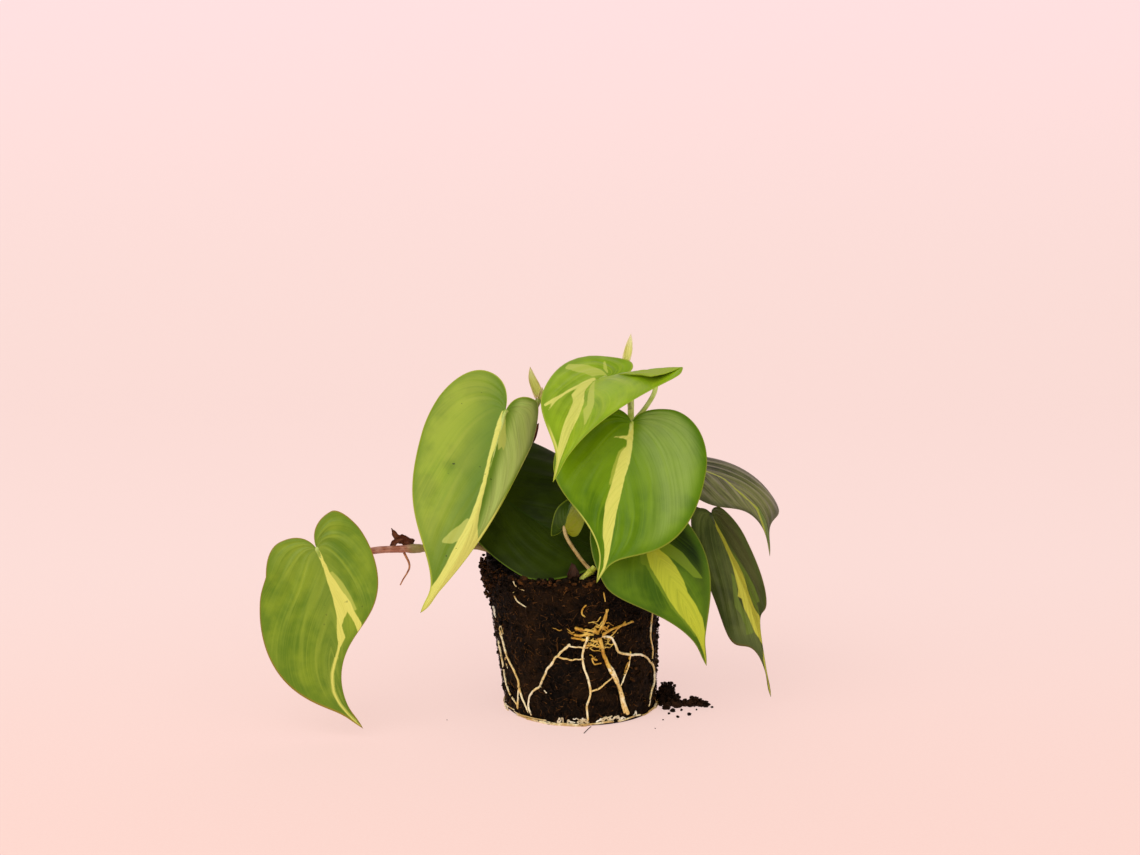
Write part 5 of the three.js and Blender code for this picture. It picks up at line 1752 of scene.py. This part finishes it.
def make_sweep():
    depth_way = [(-SHEET_SIDE, 0)] + [(y, 0) for y in range(-2000, BEND_START, 400)]
    bend = [(BEND_START + BEND_RADIUS * math.sin(a), BEND_RADIUS - BEND_RADIUS * math.cos(a))
            for a in np.linspace(0, math.pi / 2, 24)]
    profile = depth_way + bend + [(BEND_START + BEND_RADIUS, SHEET_TOP)]
    points = [(x, y, z) for y, z in profile for x in (-SHEET_SIDE, SHEET_SIDE)]
    faces = [[2 * k, 2 * k + 1, 2 * k + 3, 2 * k + 2] for k in range(len(profile) - 1)]
    paper, tree, shader = new_finish("pink paper", roughness=0.95, specular=0.1)
    fine = grain(tree, own_place(tree), 700.0, 3.0, 0.6)
    split = tree.nodes.new("ShaderNodeSeparateXYZ")
    tree.links.new(own_place(tree), split.inputs[0])
    # The one sheet is painted deeper pink in front and lighter, cooler pink further back and up the
    # back: painted light fall-off.
    lighter_up_the_back = ramp(tree, split.outputs["Z"], 0.0, 0.5)
    lighter_further_back = ramp(tree, split.outputs["Y"], -0.3, 0.35)
    lying = blend(tree, lighter_further_back, paint("#f6d1c7"), paint("#f7dad4"))
    lying = layer(tree, lying, fine, 0.2, paint("#fff0ea"))
    seen = blend(tree, lighter_up_the_back, lying, paint("#ffe0e2"))
    # Only a third of the colour takes the lamps' light; the rest glows: painted light.
    lit_share = (PAPER_LIT, PAPER_LIT, PAPER_LIT, 1.0)
    tree.links.new(multiplied(tree, seen, lit_share), shader.inputs["Base Color"])
    tree.links.new(seen, shader.inputs["Emission Color"])
    shader.inputs["Emission Strength"].default_value = PAPER_GLOW
    mesh = bpy.data.meshes.new("paper_sweep")
    mesh.from_pydata((np.array(points) * MM).tolist(), [], faces)
    mesh.polygons.foreach_set("use_smooth", [True] * len(mesh.polygons))
    mesh.materials.append(paper)
    sweep = bpy.data.objects.new("paper_sweep", mesh)
    bpy.context.scene.collection.objects.link(sweep)
    print("paper sweep faces:", len(faces))


make_sweep()

# %% Soft light from the upper left
def soft_light(name, place, aim, width, watts, color):
    data = bpy.data.lights.new(name, "AREA")
    data.shape = "SQUARE"
    data.size = width * MM
    data.energy = watts
    data.color = color
    lamp = bpy.data.objects.new(name, data)
    bpy.context.scene.collection.objects.link(lamp)
    lamp.location = np.array(place) * MM
    way = (np.array(aim) - np.array(place)) * MM
    horizontal = math.hypot(way[0], way[1])
    turned = math.atan2(way[1], way[0]) - math.pi / 2
    lamp.rotation_euler = (math.atan2(horizontal, -way[2]), 0, turned)
    print(name, "stands %.1f m away" % float(np.linalg.norm(way)))
    return lamp


PLANT_MIDDLE = (-10, 0, 90)
AIR_LIGHT = 0.7
DARK_ROOM = 0.1
soft_light("window light", place=(-1100, -1300, 1500), aim=PLANT_MIDDLE, width=2000, watts=23,
           color=(1.0, 0.99, 0.97))
fill = soft_light("front fill", place=(700, -1900, 700), aim=PLANT_MIDDLE, width=2400, watts=15.5,
                  color=(1.0, 0.98, 0.97))
fill.visible_glossy = False
world = bpy.data.worlds.new("studio air")
bpy.context.scene.world = world
world.use_nodes = True
air = world.node_tree
air.nodes["Background"].inputs["Color"].default_value = (1.0, 0.965, 0.95, 1.0)
seen_in_gloss = air.nodes.new("ShaderNodeLightPath").outputs["Is Glossy Ray"]
room_light = sums(air, "MULTIPLY_ADD", seen_in_gloss, DARK_ROOM - AIR_LIGHT, AIR_LIGHT)
air.links.new(room_light, air.nodes["Background"].inputs["Strength"])
bpy.context.scene.view_settings.view_transform = "Standard"
bpy.context.scene.view_settings.look = "None"

# %% [markdown]
# ## The camera
#
# The picture was taken from a little above the plant with a longish lens, so the leaves hardly
# shrink with depth. The camera stands 1.14 m in front, looks down by 10.5 degrees and sees a frame
# 1140 dots wide, over which the focal length is 2210 dots.

# %% The camera
IMAGE_WIDTH = 1140
FOCAL_LENGTH_DOTS = 2210
SENSOR_MM = 36
LOOKS_DOWN = 10.5
CAMERA_PLACE = (-5.9, -1135, 360)
camera_data = bpy.data.cameras.new("studio camera")
camera_data.sensor_width = SENSOR_MM
camera_data.sensor_fit = "HORIZONTAL"
camera_data.lens = FOCAL_LENGTH_DOTS / IMAGE_WIDTH * SENSOR_MM
camera_data.clip_start = 0.01
camera = bpy.data.objects.new("studio camera", camera_data)
camera.location = [value * MM for value in CAMERA_PLACE]
camera.rotation_euler = (math.radians(90 - LOOKS_DOWN), 0, 0)
bpy.context.scene.collection.objects.link(camera)
bpy.context.scene.camera = camera
print("lens: %.1f mm" % camera_data.lens)
